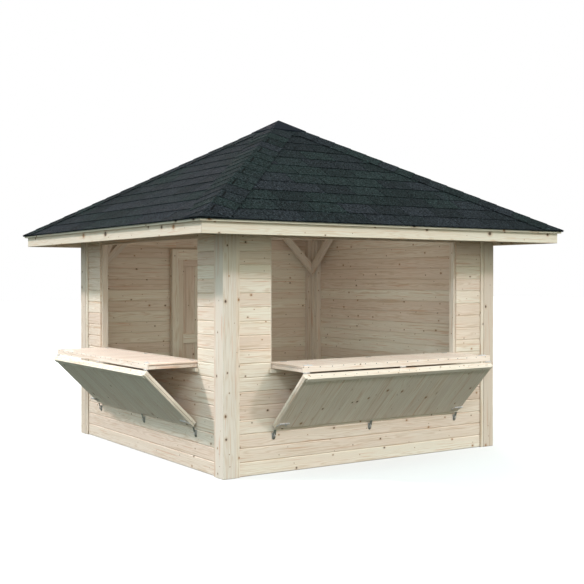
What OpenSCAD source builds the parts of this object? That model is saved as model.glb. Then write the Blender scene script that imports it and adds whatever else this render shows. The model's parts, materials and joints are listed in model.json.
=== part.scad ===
// Wooden market stall: a square boarded hut with a pyramid roof, two serving
// openings with fold-out counters, and an entry door in the back wall.
// +X runs along the front wall, +Y points to the back, +Z is up, and the
// origin is the centre of the plan at ground level.

/* [Plan] */
// Outer width over the corner posts, both ways
stall_w = 3000; // [2800:50:3200]
// Side of a square corner post
post_w = 125; // [110:5:130]
// Height of a wall plate
plate_h = 125; // [100:5:140]

/* [Walls] */
// Cover height of one wall board
course_h = 115; // [110:1:120]
// Number of board courses up to the wall plate
wall_courses = 18; // [18:1:19]
// Thickness of a wall board
board_t = 18; // [16:1:20]
// How far the boards sit behind the post faces
board_inset = 20; // [15:1:25]
// Depth of the wall framing behind the boards
stud_d = 60; // [50:1:70]
// Width of a stud beside an opening
stud_w = 45; // [40:1:60]
// Width of the stud beside a corner post
end_stud_w = 50; // [45:1:100]
// Height of the rails that lie on the ground
rail_h = 45; // [40:1:60]
// Width of the cover strip beside a post
strip_w = 35; // [25:1:45]
// Thickness of the cover strip
strip_t = 14; // [10:1:18]

/* [Serving openings] */
// Clear width of an opening between the boards
opening_w = 2070; // [1900:10:2100]
// Board courses below the sill
sill_courses = 8; // [8:1:9]
// Board courses up to the head of an opening
head_courses = 17; // [17:1:17]
// Gap between the leaves of a hatch and the side of its opening
hatch_side_gap = 11; // [8:1:15]
// Reach of the counter from its pivot line to its outer edge
counter_reach = 468; // [440:1:470]
// Thickness of the counter
counter_t = 48; // [40:1:50]
// Length of the leaf that props the counter
prop_len = 642; // [610:1:645]
// Thickness of the prop leaf
prop_t = 45; // [40:1:50]
// Slope of the prop leaf below the horizontal
prop_slope = 45; // [45:0.5:48]
// Thickness of the boards on either leaf
leaf_board_t = 17; // [14:1:20]
// Width of the battens that frame a leaf
leaf_rail_w = 70; // [50:1:90]
// Width of the lip along the top of the prop leaf's boards
lip_w = 40; // [25:1:50]
// Thickness of that lip
lip_t = 10; // [6:1:12]

/* [Door] */
// Width of the door leaf
door_w = 800; // [700:10:850]
// Top of the door leaf above the ground
door_top = 1833; // [1780:1:1840]
// Gap under the door leaf
door_floor_gap = 12; // [8:1:20]
// Gap between the door leaf and its frame
door_gap = 6; // [5:1:8]
// Width of the door frame's members
door_frame_w = 74; // [60:1:90]
// Thickness of the rails behind the door boards
door_rail_t = 28; // [22:1:30]
// Width of the door's stiles
door_stile_w = 70; // [60:1:90]

/* [Roof] */
// Reach of the shingles from the centre to the eave
eave_reach = 1965; // [1950:5:2000]
// Height of the shingles' top edge at the eave
eave_z = 2068; // [2060:1:2080]
// Slope of the roof
pitch = 29.75; // [29:0.25:31]
// Thickness of the shingle covering
shingle_t = 12; // [10:1:14]
// Thickness of the roof boards
deck_t = 18; // [16:1:20]
// Depth of a rafter square to the slope
rafter_d = 110; // [100:1:115]
// Width of a rafter
rafter_w = 60; // [45:1:70]
// Spacing of the rafters along a wall
rafter_pitch = 600; // [500:10:620]
// Reach of the fascia's outer face
fascia_reach = 1922; // [1915:1:1930]
// Thickness of a fascia board
fascia_t = 20; // [16:1:24]
// Bottom of a fascia board
fascia_z = 1952; // [1950:1:1960]
// Height of a fascia board
fascia_h = 103; // [95:1:104]
// Half width of the apex cap
apex_half = 200; // [180:5:240]

/* [Knee braces] */
// Thickness of a brace
brace_t = 45; // [35:1:50]
// Width of a brace
brace_w = 80; // [60:1:85]
// Height at which a brace's lower edge meets its post
brace_z = 1645; // [1600:5:1800]

/* [Hidden] */

$fn = 32;

pine = "#dcc5a6";
pine_dark = "#cdb18d";
steel = "#aeb2b5";
slate = "#2f383c";
slate_dark = "#262e33";

// Quarter turns that carry the front wall to each side.
FRONT = 0;
RIGHT = 1;
BACK = 2;
LEFT = 3;
SIDES = [FRONT, RIGHT, BACK, LEFT];
HATCH_SIDES = [FRONT, LEFT];

half = stall_w / 2;
post_in = half - post_w;
board_out = half - board_inset;
frame_out = board_out - board_t;
frame_in = frame_out - stud_d;
wall_top = wall_courses * course_h;
sill_z = sill_courses * course_h;
head_z = head_courses * course_h;
plate_top = wall_top + plate_h;
opening_half = opening_w / 2;
stud_in = opening_half - 20;

leaf_half = opening_half - hatch_side_gap;
// Clearance from a pivot line to the leaves that turn on it.
pivot_gap = 5;
knuckle_r = 4.5;
knuckle_w = 19;
plate_t = 2;
hinge_leaf_w = 30;
hinge_half = 30;
sill_hinge_xs = [-900, 0, 900];
prop_hinge_xs = [-992, 0, 992];
hasp_xs = [-1008, 0, 1008];
lip_inset = 20;
// Pivot lines of a hatch, as reach from the centre and height.
counter_u = frame_out + pivot_gap;
counter_z = sill_z;
prop_u = counter_u + counter_reach + pivot_gap;
prop_z = counter_z - counter_t - pivot_gap;
low_wall_top = counter_z - counter_t - pivot_gap;
ledger_h = 31;
ledger_t = 30;
ledger_top = counter_z - counter_t - 6;
ledger_over = 21;

door_half = door_w / 2;
doorway_half = door_half + door_gap;
doorway_top = door_top + door_gap;
door_frame_out = doorway_half + door_frame_w;
door_head_top = doorway_top + 100;
// The door turns on its left edge, just outside the boards.
door_pin_x = -doorway_half + 3;
door_pin_u = board_out + 9;
door_hinge_zs = [250, 930, 1600];
stop_w = 14;
stop_t = 16;
stop_out = frame_out - door_rail_t - pivot_gap - 1;

slope = tan(pitch);
apex_z = eave_z + eave_reach * slope;
shingle_v = shingle_t / cos(pitch);
deck_v = shingle_v + deck_t / cos(pitch);
rafter_v = deck_v + rafter_d / cos(pitch);
cap_v = 9;
apex_cap_v = 16;
deck_reach = fascia_reach + 27;
rafter_end = fascia_reach - fascia_t - 2;
rafter_low = fascia_z + 5;
mitre_gap = 1;
// Play between the roof boards and the rafters, and under the apex cap.
lay_gap = 0.2;
apex_block_half = 45;
hip_cap_band = 177;

// Height of the shingles' top plane at a distance u from the centre.
function roof_z(u) = apex_z - u * slope;

// Carries a shape drawn for the front wall to another side.
module at_side(k) {
    rotate([0, 0, 90 * k])
        children();
}

// A box on the front side: x along the wall, u outwards, z up.
module block(x, u, z) {
    translate([x[0], -u[1], z[0]])
        cube([x[1] - x[0], u[1] - u[0], z[1] - z[0]]);
}

// A pair of boxes mirrored about the middle of the wall.
module block_pair(x, u, z) {
    block(x, u, z);
    block([-x[1], -x[0]], u, z);
}

// Extrudes an outline given as [u, z] points along x from x0 to x1.
module along_wall(points, x0, x1) {
    translate([x0, 0, 0])
        rotate([90, 0, 90])
            linear_extrude(height = x1 - x0)
                polygon([for (p = points) [-p[0], p[1]]]);
}

// A plan outline given as [x, u] points, as a tall prism.
module plan_prism(points) {
    linear_extrude(height = apex_z + 100)
        polygon([for (p = points) [p[0], -p[1]]]);
}

// A round rod along x with its centre at [u, z].
module rod_x(u, z, r, x0, x1) {
    translate([x0, -u, z])
        rotate([0, 90, 0])
            cylinder(r = r, h = x1 - x0);
}

// ---- Frame -------------------------------------------------------------

module corner_post(k) {
    color(pine)
        at_side(k)
            block([post_in, half], [post_in, half], [0, wall_top]);
}

module front_right_post() { corner_post(FRONT); }
module back_right_post() { corner_post(RIGHT); }
module back_left_post() { corner_post(BACK); }
module front_left_post() { corner_post(LEFT); }

module wall_plates() {
    inner = post_in - mitre_gap;
    outer = half - mitre_gap;
    color(pine)
        for (k = SIDES)
            at_side(k)
                translate([0, 0, wall_top])
                    linear_extrude(height = plate_h)
                        polygon([[-inner, -post_in], [inner, -post_in], [outer, -half], [-outer, -half]]);
}

module ground_rails() {
    color(pine_dark) {
        for (k = [FRONT, RIGHT, LEFT])
            at_side(k)
                block([-post_in, post_in], [frame_in, frame_out], [0, rail_h]);
        at_side(BACK)
            block_pair([door_frame_out, post_in], [frame_in, frame_out], [0, rail_h]);
    }
}

// Studs beside the posts, and beside the serving openings.
module wall_studs() {
    color(pine) {
        for (k = SIDES)
            at_side(k)
                block_pair([post_in - end_stud_w, post_in], [frame_in, frame_out], [rail_h, wall_top]);
        for (k = HATCH_SIDES)
            at_side(k)
                block_pair([stud_in, stud_in + stud_w], [frame_in, frame_out], [rail_h, wall_top]);
    }
}

// The sill and the head of each serving opening.
module opening_rails() {
    color(pine)
        for (k = HATCH_SIDES)
            at_side(k) {
                block([-stud_in, stud_in], [frame_in, frame_out], [sill_z - stud_w, sill_z]);
                block([-stud_in, stud_in], [frame_in, frame_out], [head_z, wall_top]);
            }
}

module knee_brace_outline() {
    rise = brace_w / cos(45);
    top = plate_top - brace_z;
    polygon([
        [post_in, brace_z],
        [post_in, brace_z + rise],
        [post_in - top + rise, plate_top],
        [post_in - top, plate_top],
    ]);
}

// Braces from each post up to the plates, mitred where two meet on a post.
module knee_braces() {
    inner = post_in - brace_t;
    color(pine)
        for (k = SIDES, m = [0, 1])
            at_side(k)
                mirror([m, 0, 0])
                    intersection() {
                        translate([0, -inner, 0])
                            rotate([90, 0, 0])
                                linear_extrude(height = brace_t)
                                    knee_brace_outline();
                        plan_prism([[0, inner], [inner - mitre_gap, inner], [post_in - mitre_gap, post_in],
                                    [0, post_in]]);
                    }
}

// ---- Boarded walls -----------------------------------------------------

module boards(k, x, z) {
    color(pine)
        at_side(k)
            block(x, [frame_out, board_out], z);
}

module low_wall(k) {
    lap_z = (sill_courses - 1) * course_h;
    color(pine)
        at_side(k) {
            block([-post_in, post_in], [frame_out, board_out], [0, lap_z]);
            block([-opening_half, opening_half], [frame_out, board_out], [lap_z, low_wall_top]);
        }
}

module side_panel(k, m) {
    lap_z = (sill_courses - 1) * course_h;
    x = m == 0 ? [opening_half, post_in] : [-post_in, -opening_half];
    boards(k, x, [lap_z, wall_top]);
}

module front_wall_low() { low_wall(FRONT); }
module front_wall_right() { side_panel(FRONT, 0); }
module front_wall_left() { side_panel(FRONT, 1); }
module left_wall_low() { low_wall(LEFT); }
module left_wall_front() { side_panel(LEFT, 0); }
module left_wall_back() { side_panel(LEFT, 1); }
module right_wall() { boards(RIGHT, [-post_in, post_in], [0, wall_top]); }
module back_wall_left() { boards(BACK, [doorway_half, post_in], [0, wall_top]); }
module back_wall_right() { boards(BACK, [-post_in, -doorway_half], [0, wall_top]); }
module back_wall_over_door() { boards(BACK, [-doorway_half, doorway_half], [doorway_top, wall_top]); }

// Strips that cover the board ends beside the posts.
module cover_strips() {
    color(pine)
        for (k = SIDES)
            at_side(k)
                block_pair([post_in - strip_w, post_in], [board_out, board_out + strip_t], [0, wall_top]);
}

module counter_ledgers() {
    reach = opening_half + ledger_over;
    color(pine)
        for (k = HATCH_SIDES)
            at_side(k)
                block([-reach, reach], [board_out, board_out + ledger_t], [ledger_top - ledger_h, ledger_top]);
}

// ---- Hatches -----------------------------------------------------------

// Draws its children from the prop leaf's pivot: -y along the leaf and +z
// square to it on the boarded side, with the leaf at its open slope.
module on_prop_leaf() {
    translate([0, -prop_u, prop_z])
        rotate([180 - prop_slope, 0, 0])
            children();
}

// A framed and boarded leaf: boards on top, battens round the edge and
// across the middle below.
module framed_leaf(x_half, u, z, boards_on_top = true) {
    z_mid = z[1] - leaf_board_t;
    cross_half = leaf_rail_w / 2;
    block([-x_half, x_half], u, [z_mid, z[1]]);
    block([-x_half, x_half], [u[0], u[0] + leaf_rail_w], [z[0], z_mid]);
    block([-x_half, x_half], [u[1] - leaf_rail_w, u[1]], [z[0], z_mid]);
    block_pair([x_half - leaf_rail_w, x_half], u, [z[0], z_mid]);
    block([-cross_half, cross_half], u, [z[0], z_mid]);
}

module counter(k) {
    color(pine)
        at_side(k)
            framed_leaf(
                leaf_half,
                [counter_u + pivot_gap, counter_u + counter_reach],
                [counter_z - counter_t, counter_z]
            );
}

module prop_leaf(k) {
    lip_half = leaf_half - lip_inset;
    face = pivot_gap + prop_t;
    color(pine)
        at_side(k)
            on_prop_leaf() {
                framed_leaf(leaf_half, [pivot_gap, pivot_gap + prop_len], [pivot_gap, face]);
                block([-lip_half, lip_half], [pivot_gap, pivot_gap + lip_w], [face, face + lip_t]);
            }
}

// The two outer knuckles of a hinge with its leaf plate, around a pivot at
// [0, 0]; the plate lies on the side that dir points to, at height z.
module outer_hinge_half(dir, z) {
    u = dir > 0 ? [pivot_gap - 2, pivot_gap + hinge_leaf_w] : [-pivot_gap - hinge_leaf_w, -pivot_gap + 2];
    web = dir > 0 ? [0, pivot_gap] : [-pivot_gap, 0];
    for (x = [[-hinge_half, -hinge_half + knuckle_w], [hinge_half - knuckle_w, hinge_half]]) {
        rod_x(0, 0, knuckle_r, x[0], x[1]);
        block(x, web, [min(0, z), z + plate_t]);
        block(x, u, [z, z + plate_t]);
    }
    block([-hinge_half, hinge_half], dir > 0 ? [pivot_gap, u[1]] : [u[0], -pivot_gap], [z, z + plate_t]);
}

// The middle knuckle of a hinge with its leaf plate.
module middle_hinge_half(dir, z) {
    mid = hinge_half - knuckle_w - 1;
    u = dir > 0 ? [pivot_gap, pivot_gap + hinge_leaf_w] : [-pivot_gap - hinge_leaf_w, -pivot_gap];
    web = dir > 0 ? [0, pivot_gap] : [-pivot_gap, 0];
    rod_x(0, 0, knuckle_r, -mid, mid);
    block([-mid, mid], web, [min(0, z), z + plate_t]);
    block([-hinge_half, hinge_half], u, [z, z + plate_t]);
}

// The half of each counter hinge that is screwed to the edge of the sill.
module sill_hinges() {
    color(steel)
        for (k = HATCH_SIDES, x = sill_hinge_xs)
            at_side(k)
                translate([x, -counter_u, counter_z])
                    rotate([-90, 0, 0])
                        outer_hinge_half(-1, pivot_gap - plate_t);
}

// A barrel bolt that lies along the outer edge of the counter.
module barrel_bolt() {
    plate = 45;
    reach = 38;
    rod_r = 4;
    block([-plate, plate], [-12, 12], [0, plate_t]);
    rod_x(0, rod_r + 1, rod_r, -reach, reach);
    translate([0, 0, rod_r + 1])
        cylinder(r = rod_r - 1, h = 10);
}

module counter_fittings(k) {
    bolt_x = leaf_half - 70;
    bolt_u = counter_u + counter_reach - 30;
    color(steel)
        at_side(k) {
            for (x = sill_hinge_xs)
                translate([x, -counter_u, counter_z])
                    rotate([90, 0, 0])
                        middle_hinge_half(1, pivot_gap - plate_t);
            for (x = prop_hinge_xs)
                translate([x, -prop_u, prop_z])
                    middle_hinge_half(-1, pivot_gap - plate_t);
            for (x = [-bolt_x, bolt_x])
                translate([x, -bolt_u, counter_z])
                    barrel_bolt();
        }
}

// A bow handle on the face z = 0, along x. Its legs lean by sweep towards +y.
module bow_handle(sweep) {
    grip = 42;
    stand = 18;
    rod_r = 4;
    swept = stand * tan(sweep);
    for (x = [-grip, grip]) {
        translate([x, 0, 0])
            cylinder(r = 10, h = plate_t);
        intersection() {
            translate([x, 0, 0])
                rotate([-sweep, 0, 0])
                    translate([0, 0, -2 * rod_r])
                        cylinder(r = rod_r, h = stand / cos(sweep) + 2 * rod_r);
            translate([x - 2 * rod_r, -stand, 0])
                cube([4 * rod_r, swept + 2 * stand, 2 * stand]);
        }
        translate([x, swept, stand])
            sphere(r = rod_r);
    }
    rod_x(-swept, stand, rod_r, -grip, grip);
}

// The plate and knuckle at a prop leaf's foot that a hasp's strap hooks on.
module hasp_knuckle() {
    foot = pivot_gap + prop_len;
    half_w = 13;
    block([-half_w, half_w], [foot, foot + plate_t], [12, pivot_gap + prop_t]);
    rod_x(foot + 4, pivot_gap + prop_t - 4, 4, -half_w, half_w);
}

module prop_fittings(k) {
    handle_x = leaf_half - 55;
    handle_u = pivot_gap + prop_len - 40;
    color(steel)
        at_side(k)
            on_prop_leaf() {
                for (x = prop_hinge_xs)
                    translate([x, 0, 0])
                        outer_hinge_half(1, pivot_gap - plate_t);
                for (x = hasp_xs)
                    translate([x, 0, 0])
                        hasp_knuckle();
                for (x = [-handle_x, handle_x])
                    translate([x, -handle_u, pivot_gap + prop_t])
                        bow_handle(67);
            }
}

// A staple of round wire that stands off the face u = 0 at height z.
module staple(z, reach, ring_r, wire_r) {
    for (side = [-1, 1])
        translate([0, 0, z + side * ring_r])
            rotate([90, 0, 0])
                cylinder(r = wire_r, h = reach);
    translate([0, -reach, z])
        rotate([0, 0, -90])
            rotate([90, 0, 0])
                rotate([0, 0, -90])
                    rotate_extrude(angle = 180)
                        translate([ring_r, 0])
                            circle(r = wire_r);
}

// The outline of a hasp's strap, with the slot that goes over the staple.
module strap_outline(len, half_w) {
    slot_r = 6;
    difference() {
        union() {
            translate([-half_w, 0])
                square([2 * half_w, len]);
            circle(r = half_w);
        }
        translate([0, 8])
            circle(r = slot_r);
        translate([-slot_r, 8])
            square([2 * slot_r, 26]);
        translate([0, 34])
            circle(r = slot_r);
    }
}

// One hasp: a wall plate with a staple, and a strap that hangs over the
// staple and leans out under the prop leaf, with a peg that holds it on.
module hasp() {
    lean = 16;
    eye_z = 313;
    plate_half = 17;
    block([-plate_half, plate_half], [0, plate_t], [eye_z - 26, eye_z + 26]);
    staple(eye_z, 12, 10, 3);
    translate([0, -5, eye_z - 20])
        rotate([90 + lean, 0, 0])
            linear_extrude(height = 2.5)
                strap_outline(74, 13);
    rod_x(16.4, eye_z, 2.2, -14, 14);
}

module hasps() {
    color(steel)
        for (k = HATCH_SIDES, x = hasp_xs)
            at_side(k)
                translate([x, -board_out, 0])
                    hasp();
}

module front_counter() { counter(FRONT); }
module front_counter_fittings() { counter_fittings(FRONT); }
module front_prop_leaf() { prop_leaf(FRONT); }
module front_prop_fittings() { prop_fittings(FRONT); }
module left_counter() { counter(LEFT); }
module left_counter_fittings() { counter_fittings(LEFT); }
module left_prop_leaf() { prop_leaf(LEFT); }
module left_prop_fittings() { prop_fittings(LEFT); }

// ---- Door --------------------------------------------------------------

// Draws its children on the back side with x running as it does in the
// whole stall, so that u still points outwards.
module at_back() {
    mirror([0, 1, 0])
        children();
}

// The side members of the door frame, each with a stop behind the leaf.
module door_jambs() {
    color(pine)
        at_back()
            block_pair([doorway_half, door_frame_out], [frame_in, frame_out], [0, door_head_top]);
    color(pine)
        at_back()
            block_pair([doorway_half - stop_w, doorway_half], [stop_out - stop_t, stop_out], [0, doorway_top]);
}

// The head of the door frame, with its own stop between those of the sides.
module door_head() {
    stop_half = doorway_half - stop_w;
    color(pine)
        at_back() {
            block([-doorway_half, doorway_half], [frame_in, frame_out], [doorway_top, door_head_top]);
            block([-stop_half, stop_half], [stop_out - stop_t, stop_out], [doorway_top - stop_w, doorway_top]);
        }
}

module door_leaf() {
    rails = [[door_floor_gap, door_floor_gap + 120], [900, 1000], [door_top - 80, door_top]];
    inner = door_half - door_stile_w;
    color(pine)
        at_back() {
            block([-door_half, door_half], [frame_out, board_out], [door_floor_gap, door_top]);
            block_pair([inner, door_half], [frame_out - door_rail_t, frame_out], [door_floor_gap, door_top]);
            for (z = rails)
                block([-inner, inner], [frame_out - door_rail_t, frame_out], z);
        }
}

// A strap hinge seen from outside: the door's half carries the middle
// knuckle and a long strap, the frame's half the knuckles above and below.
module door_fittings() {
    strap = 330;
    strap_half = 16;
    knuckle = 24;
    handle_x = door_half - 45;
    color(steel)
        at_back() {
            for (z = door_hinge_zs) {
                translate([door_pin_x, -door_pin_u, z - knuckle / 2])
                    cylinder(r = 6, h = knuckle);
                block([door_pin_x, door_pin_x + 8], [board_out, door_pin_u], [z - knuckle / 2, z + knuckle / 2]);
                block([door_pin_x + 8, door_pin_x + strap], [board_out, board_out + 3],
                      [z - strap_half, z + strap_half]);
            }
            translate([handle_x, -board_out, 1010])
                rotate([90, 0, 0])
                    rotate([0, 0, 90])
                        bow_handle(0);
        }
}

module door_frame_hinges() {
    knuckle = 24;
    side = 18;
    color(steel)
        at_back()
            for (z = door_hinge_zs, m = [-1, 1]) {
                z0 = z + m * (knuckle / 2 + 1 + side / 2) - side / 2;
                translate([door_pin_x, -door_pin_u, z0])
                    cylinder(r = 6, h = side);
                block([door_pin_x - 8, door_pin_x], [board_out, door_pin_u], [z0, z0 + side]);
                block([door_pin_x - 48, door_pin_x - 3], [board_out, board_out + 3], [z0, z0 + side]);
            }
}

// ---- Roof --------------------------------------------------------------

// A layer of the roof on the front side, between two depths below the
// shingles' top plane, from u0 to u1, mitred to the hips.
module roof_layer(u0, u1, top_v, low_v, gap = 0) {
    intersection() {
        along_wall([
            [u0, roof_z(u0) - top_v],
            [u1, roof_z(u1) - top_v],
            [u1, roof_z(u1) - low_v],
            [u0, roof_z(u0) - low_v],
        ], -u1, u1);
        plan_prism([[0, gap], [u1, u1 + gap], [-u1, u1 + gap]]);
    }
}

module shingles(k) {
    color(slate)
        at_side(k)
            roof_layer(0, eave_reach, 0, shingle_v);
}

module front_shingles() { shingles(FRONT); }
module right_shingles() { shingles(RIGHT); }
module back_shingles() { shingles(BACK); }
module left_shingles() { shingles(LEFT); }

module roof_boards() {
    color(pine)
        for (k = SIDES)
            at_side(k)
                roof_layer(0, deck_reach, shingle_v, deck_v, mitre_gap);
}

module fascia_boards() {
    inner = fascia_reach - fascia_t;
    color(pine)
        for (k = SIDES)
            at_side(k)
                translate([0, 0, fascia_z])
                    linear_extrude(height = fascia_h)
                        polygon([
                            [-(inner - mitre_gap), -inner],
                            [inner - mitre_gap, -inner],
                            [fascia_reach - mitre_gap, -fascia_reach],
                            [-(fascia_reach - mitre_gap), -fascia_reach],
                        ]);
}

// The outline of a rafter in [u, z]: its foot is cut plumb and level.
function rafter_outline(u0, u1, top_v, low_v, k) = [
    [u0, apex_z - u0 * k - top_v],
    [u1, apex_z - u1 * k - top_v],
    [u1, rafter_low],
    [(apex_z - low_v - rafter_low) / k, rafter_low],
    [u0, apex_z - u0 * k - low_v],
];

// The room that the wall plates take out of the rafters above them.
module plate_seat() {
    translate([-half, -half, wall_top])
        cube([stall_w, stall_w, plate_h]);
}

module rafters() {
    hip_side = rafter_w / 2 * sqrt(2) + mitre_gap;
    top_end = 76;
    color(pine_dark)
        for (k = SIDES, i = [-2:2])
            at_side(k)
                difference() {
                    intersection() {
                        along_wall(
                            rafter_outline(top_end, rafter_end, deck_v + lay_gap, rafter_v, slope),
                            i * rafter_pitch - rafter_w / 2,
                            i * rafter_pitch + rafter_w / 2
                        );
                        plan_prism([[0, hip_side], [half, half + hip_side], [half, eave_reach],
                                    [-half, eave_reach], [-half, half + hip_side]]);
                    }
                    plate_seat();
                }
}

module hip_rafters() {
    drop = rafter_w / 2 / sqrt(2) * slope;
    hip_v = deck_v + drop + lay_gap;
    reach = rafter_end * sqrt(2) - rafter_w / 2;
    color(pine_dark)
        for (k = SIDES)
            difference() {
                rotate([0, 0, 45 + 90 * k])
                    along_wall(
                        rafter_outline(apex_block_half, reach, hip_v, rafter_v + drop, slope / sqrt(2)),
                        -rafter_w / 2,
                        rafter_w / 2
                    );
                plate_seat();
            }
}

// The block under the apex that the four hip rafters lean on.
module apex_block() {
    low = apex_z - rafter_v - 60;
    top = roof_z(apex_block_half * sqrt(2)) - deck_v - lay_gap;
    color(pine_dark)
        rotate([0, 0, 45])
            translate([-apex_block_half, -apex_block_half, low])
                cube([2 * apex_block_half, 2 * apex_block_half, top - low]);
}

// A folded strip of shingle along each hip.
module hip_caps() {
    start = apex_half + mitre_gap;
    band = hip_cap_band;
    color(slate_dark)
        for (k = SIDES, m = [0, 1])
            at_side(k + m)
                mirror([m, 0, 0])
                    intersection() {
                        roof_layer(start, eave_reach, -cap_v, 0);
                        plan_prism([
                            [start - band, start],
                            [start, start],
                            [eave_reach, eave_reach],
                            [eave_reach - band, eave_reach],
                        ]);
                    }
}

module apex_cap() {
    color(slate_dark)
        for (k = SIDES)
            at_side(k)
                roof_layer(0, apex_half, -apex_cap_v, -lay_gap);
}

// ---- Assembly ----------------------------------------------------------

front_left_post();
front_right_post();
back_right_post();
back_left_post();
wall_plates();
ground_rails();
wall_studs();
opening_rails();
front_wall_low();
front_wall_left();
front_wall_right();
left_wall_low();
left_wall_back();
left_wall_front();
right_wall();
back_wall_right();
back_wall_left();
back_wall_over_door();
cover_strips();
knee_braces();
counter_ledgers();
hasps();
sill_hinges();
front_counter();
front_counter_fittings();
front_prop_leaf();
front_prop_fittings();
left_counter();
left_counter_fittings();
left_prop_leaf();
left_prop_fittings();
door_jambs();
door_head();
door_leaf();
door_fittings();
door_frame_hinges();
hip_rafters();
rafters();
apex_block();
roof_boards();
fascia_boards();
front_shingles();
right_shingles();
back_shingles();
left_shingles();
hip_caps();
apex_cap();
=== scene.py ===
"""Looks of a wooden market stall: timbers, boards, shingles, fittings, light and camera.

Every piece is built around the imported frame, in metres: +X along the front
wall, +Y to the back, +Z up, with the origin at the middle of the plan.
"""

import json
import logging
import math
import random
from dataclasses import dataclass, field
from enum import Enum
from typing import Iterable, Sequence

import bmesh
import bpy
from mathutils import Matrix, Vector


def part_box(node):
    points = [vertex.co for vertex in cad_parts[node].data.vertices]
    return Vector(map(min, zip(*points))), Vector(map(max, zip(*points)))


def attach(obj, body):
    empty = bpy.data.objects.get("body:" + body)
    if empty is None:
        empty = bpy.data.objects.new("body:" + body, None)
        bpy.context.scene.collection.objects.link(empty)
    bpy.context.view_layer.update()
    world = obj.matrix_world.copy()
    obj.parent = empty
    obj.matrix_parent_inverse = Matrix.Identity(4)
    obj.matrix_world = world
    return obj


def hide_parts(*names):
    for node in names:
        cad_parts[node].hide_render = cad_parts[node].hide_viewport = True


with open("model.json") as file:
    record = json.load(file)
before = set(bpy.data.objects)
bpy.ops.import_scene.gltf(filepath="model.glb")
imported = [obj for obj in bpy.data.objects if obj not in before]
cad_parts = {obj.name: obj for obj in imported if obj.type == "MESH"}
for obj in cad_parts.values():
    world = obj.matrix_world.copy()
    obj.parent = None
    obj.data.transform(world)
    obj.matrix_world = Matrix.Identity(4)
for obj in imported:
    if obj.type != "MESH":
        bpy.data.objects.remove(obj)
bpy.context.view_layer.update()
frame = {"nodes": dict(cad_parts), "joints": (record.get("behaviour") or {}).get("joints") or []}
LOG = logging.getLogger("stall")

Colour = tuple[float, float, float]
Range = tuple[float, float]
Point = Sequence[float]
Shape = bmesh.types.BMesh
Mesh = bpy.types.Mesh
Material = bpy.types.Material
Node = bpy.types.Node
Socket = bpy.types.NodeSocket
Ports = bpy.types.NodeOutputs

MM = 0.001
# Points closer than this are one.
WELD = 0.01 * MM

# A timber lies at a random place in a long log, this far off its middle.
LOG_LENGTH = 60.0
LEAST_OFF = 0.03
MOST_OFF = 0.09
# Knots on the faces of one timber are this far apart in the pattern, so that no two faces match.
FACE_SHIFT = 0.17

BOX_FACES = ((0, 1, 3, 2), (4, 5, 7, 6), (0, 1, 5, 4), (2, 3, 7, 6), (0, 2, 6, 4), (1, 3, 7, 5))

# Where the x, y and z of a run of boards point in wall or leaf coordinates.
LEVEL = ((0, 0, 1), (0, 1, 0), (1, 0, 0))
OUTWARD = ((1, 0, 0), (0, 0, 1), (0, 1, 0))
UPRIGHT = ((1, 0, 0), (0, 1, 0), (0, 0, 1))
IN_PLACE = Matrix.Identity(4)


class Side(Enum):
    """A side of the stall, counted in quarter turns from the front."""

    FRONT = 0
    RIGHT = 1
    BACK = 2
    LEFT = 3

    @property
    def label(self) -> str:
        """The side's name as node names spell it."""
        return self.name.lower()

    def matrix(self) -> Matrix:
        """Turns wall coordinates (x along, u outwards, z up) into the stall's frame."""
        outward = Matrix.Diagonal((1, -1, 1, 1))
        return Matrix.Rotation(self.value * math.pi / 2, 4, "Z") @ outward


class Slot(str, Enum):
    """The record's material slots."""

    BOARD = "spruce_board"
    TIMBER = "frame_timber"
    ROOF_BOARD = "roof_board"
    SHINGLE = "shingle"
    FELT = "ridge_felt"
    STEEL = "galvanised"


# ---- Node trees ---------------------------------------------------------------


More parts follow.
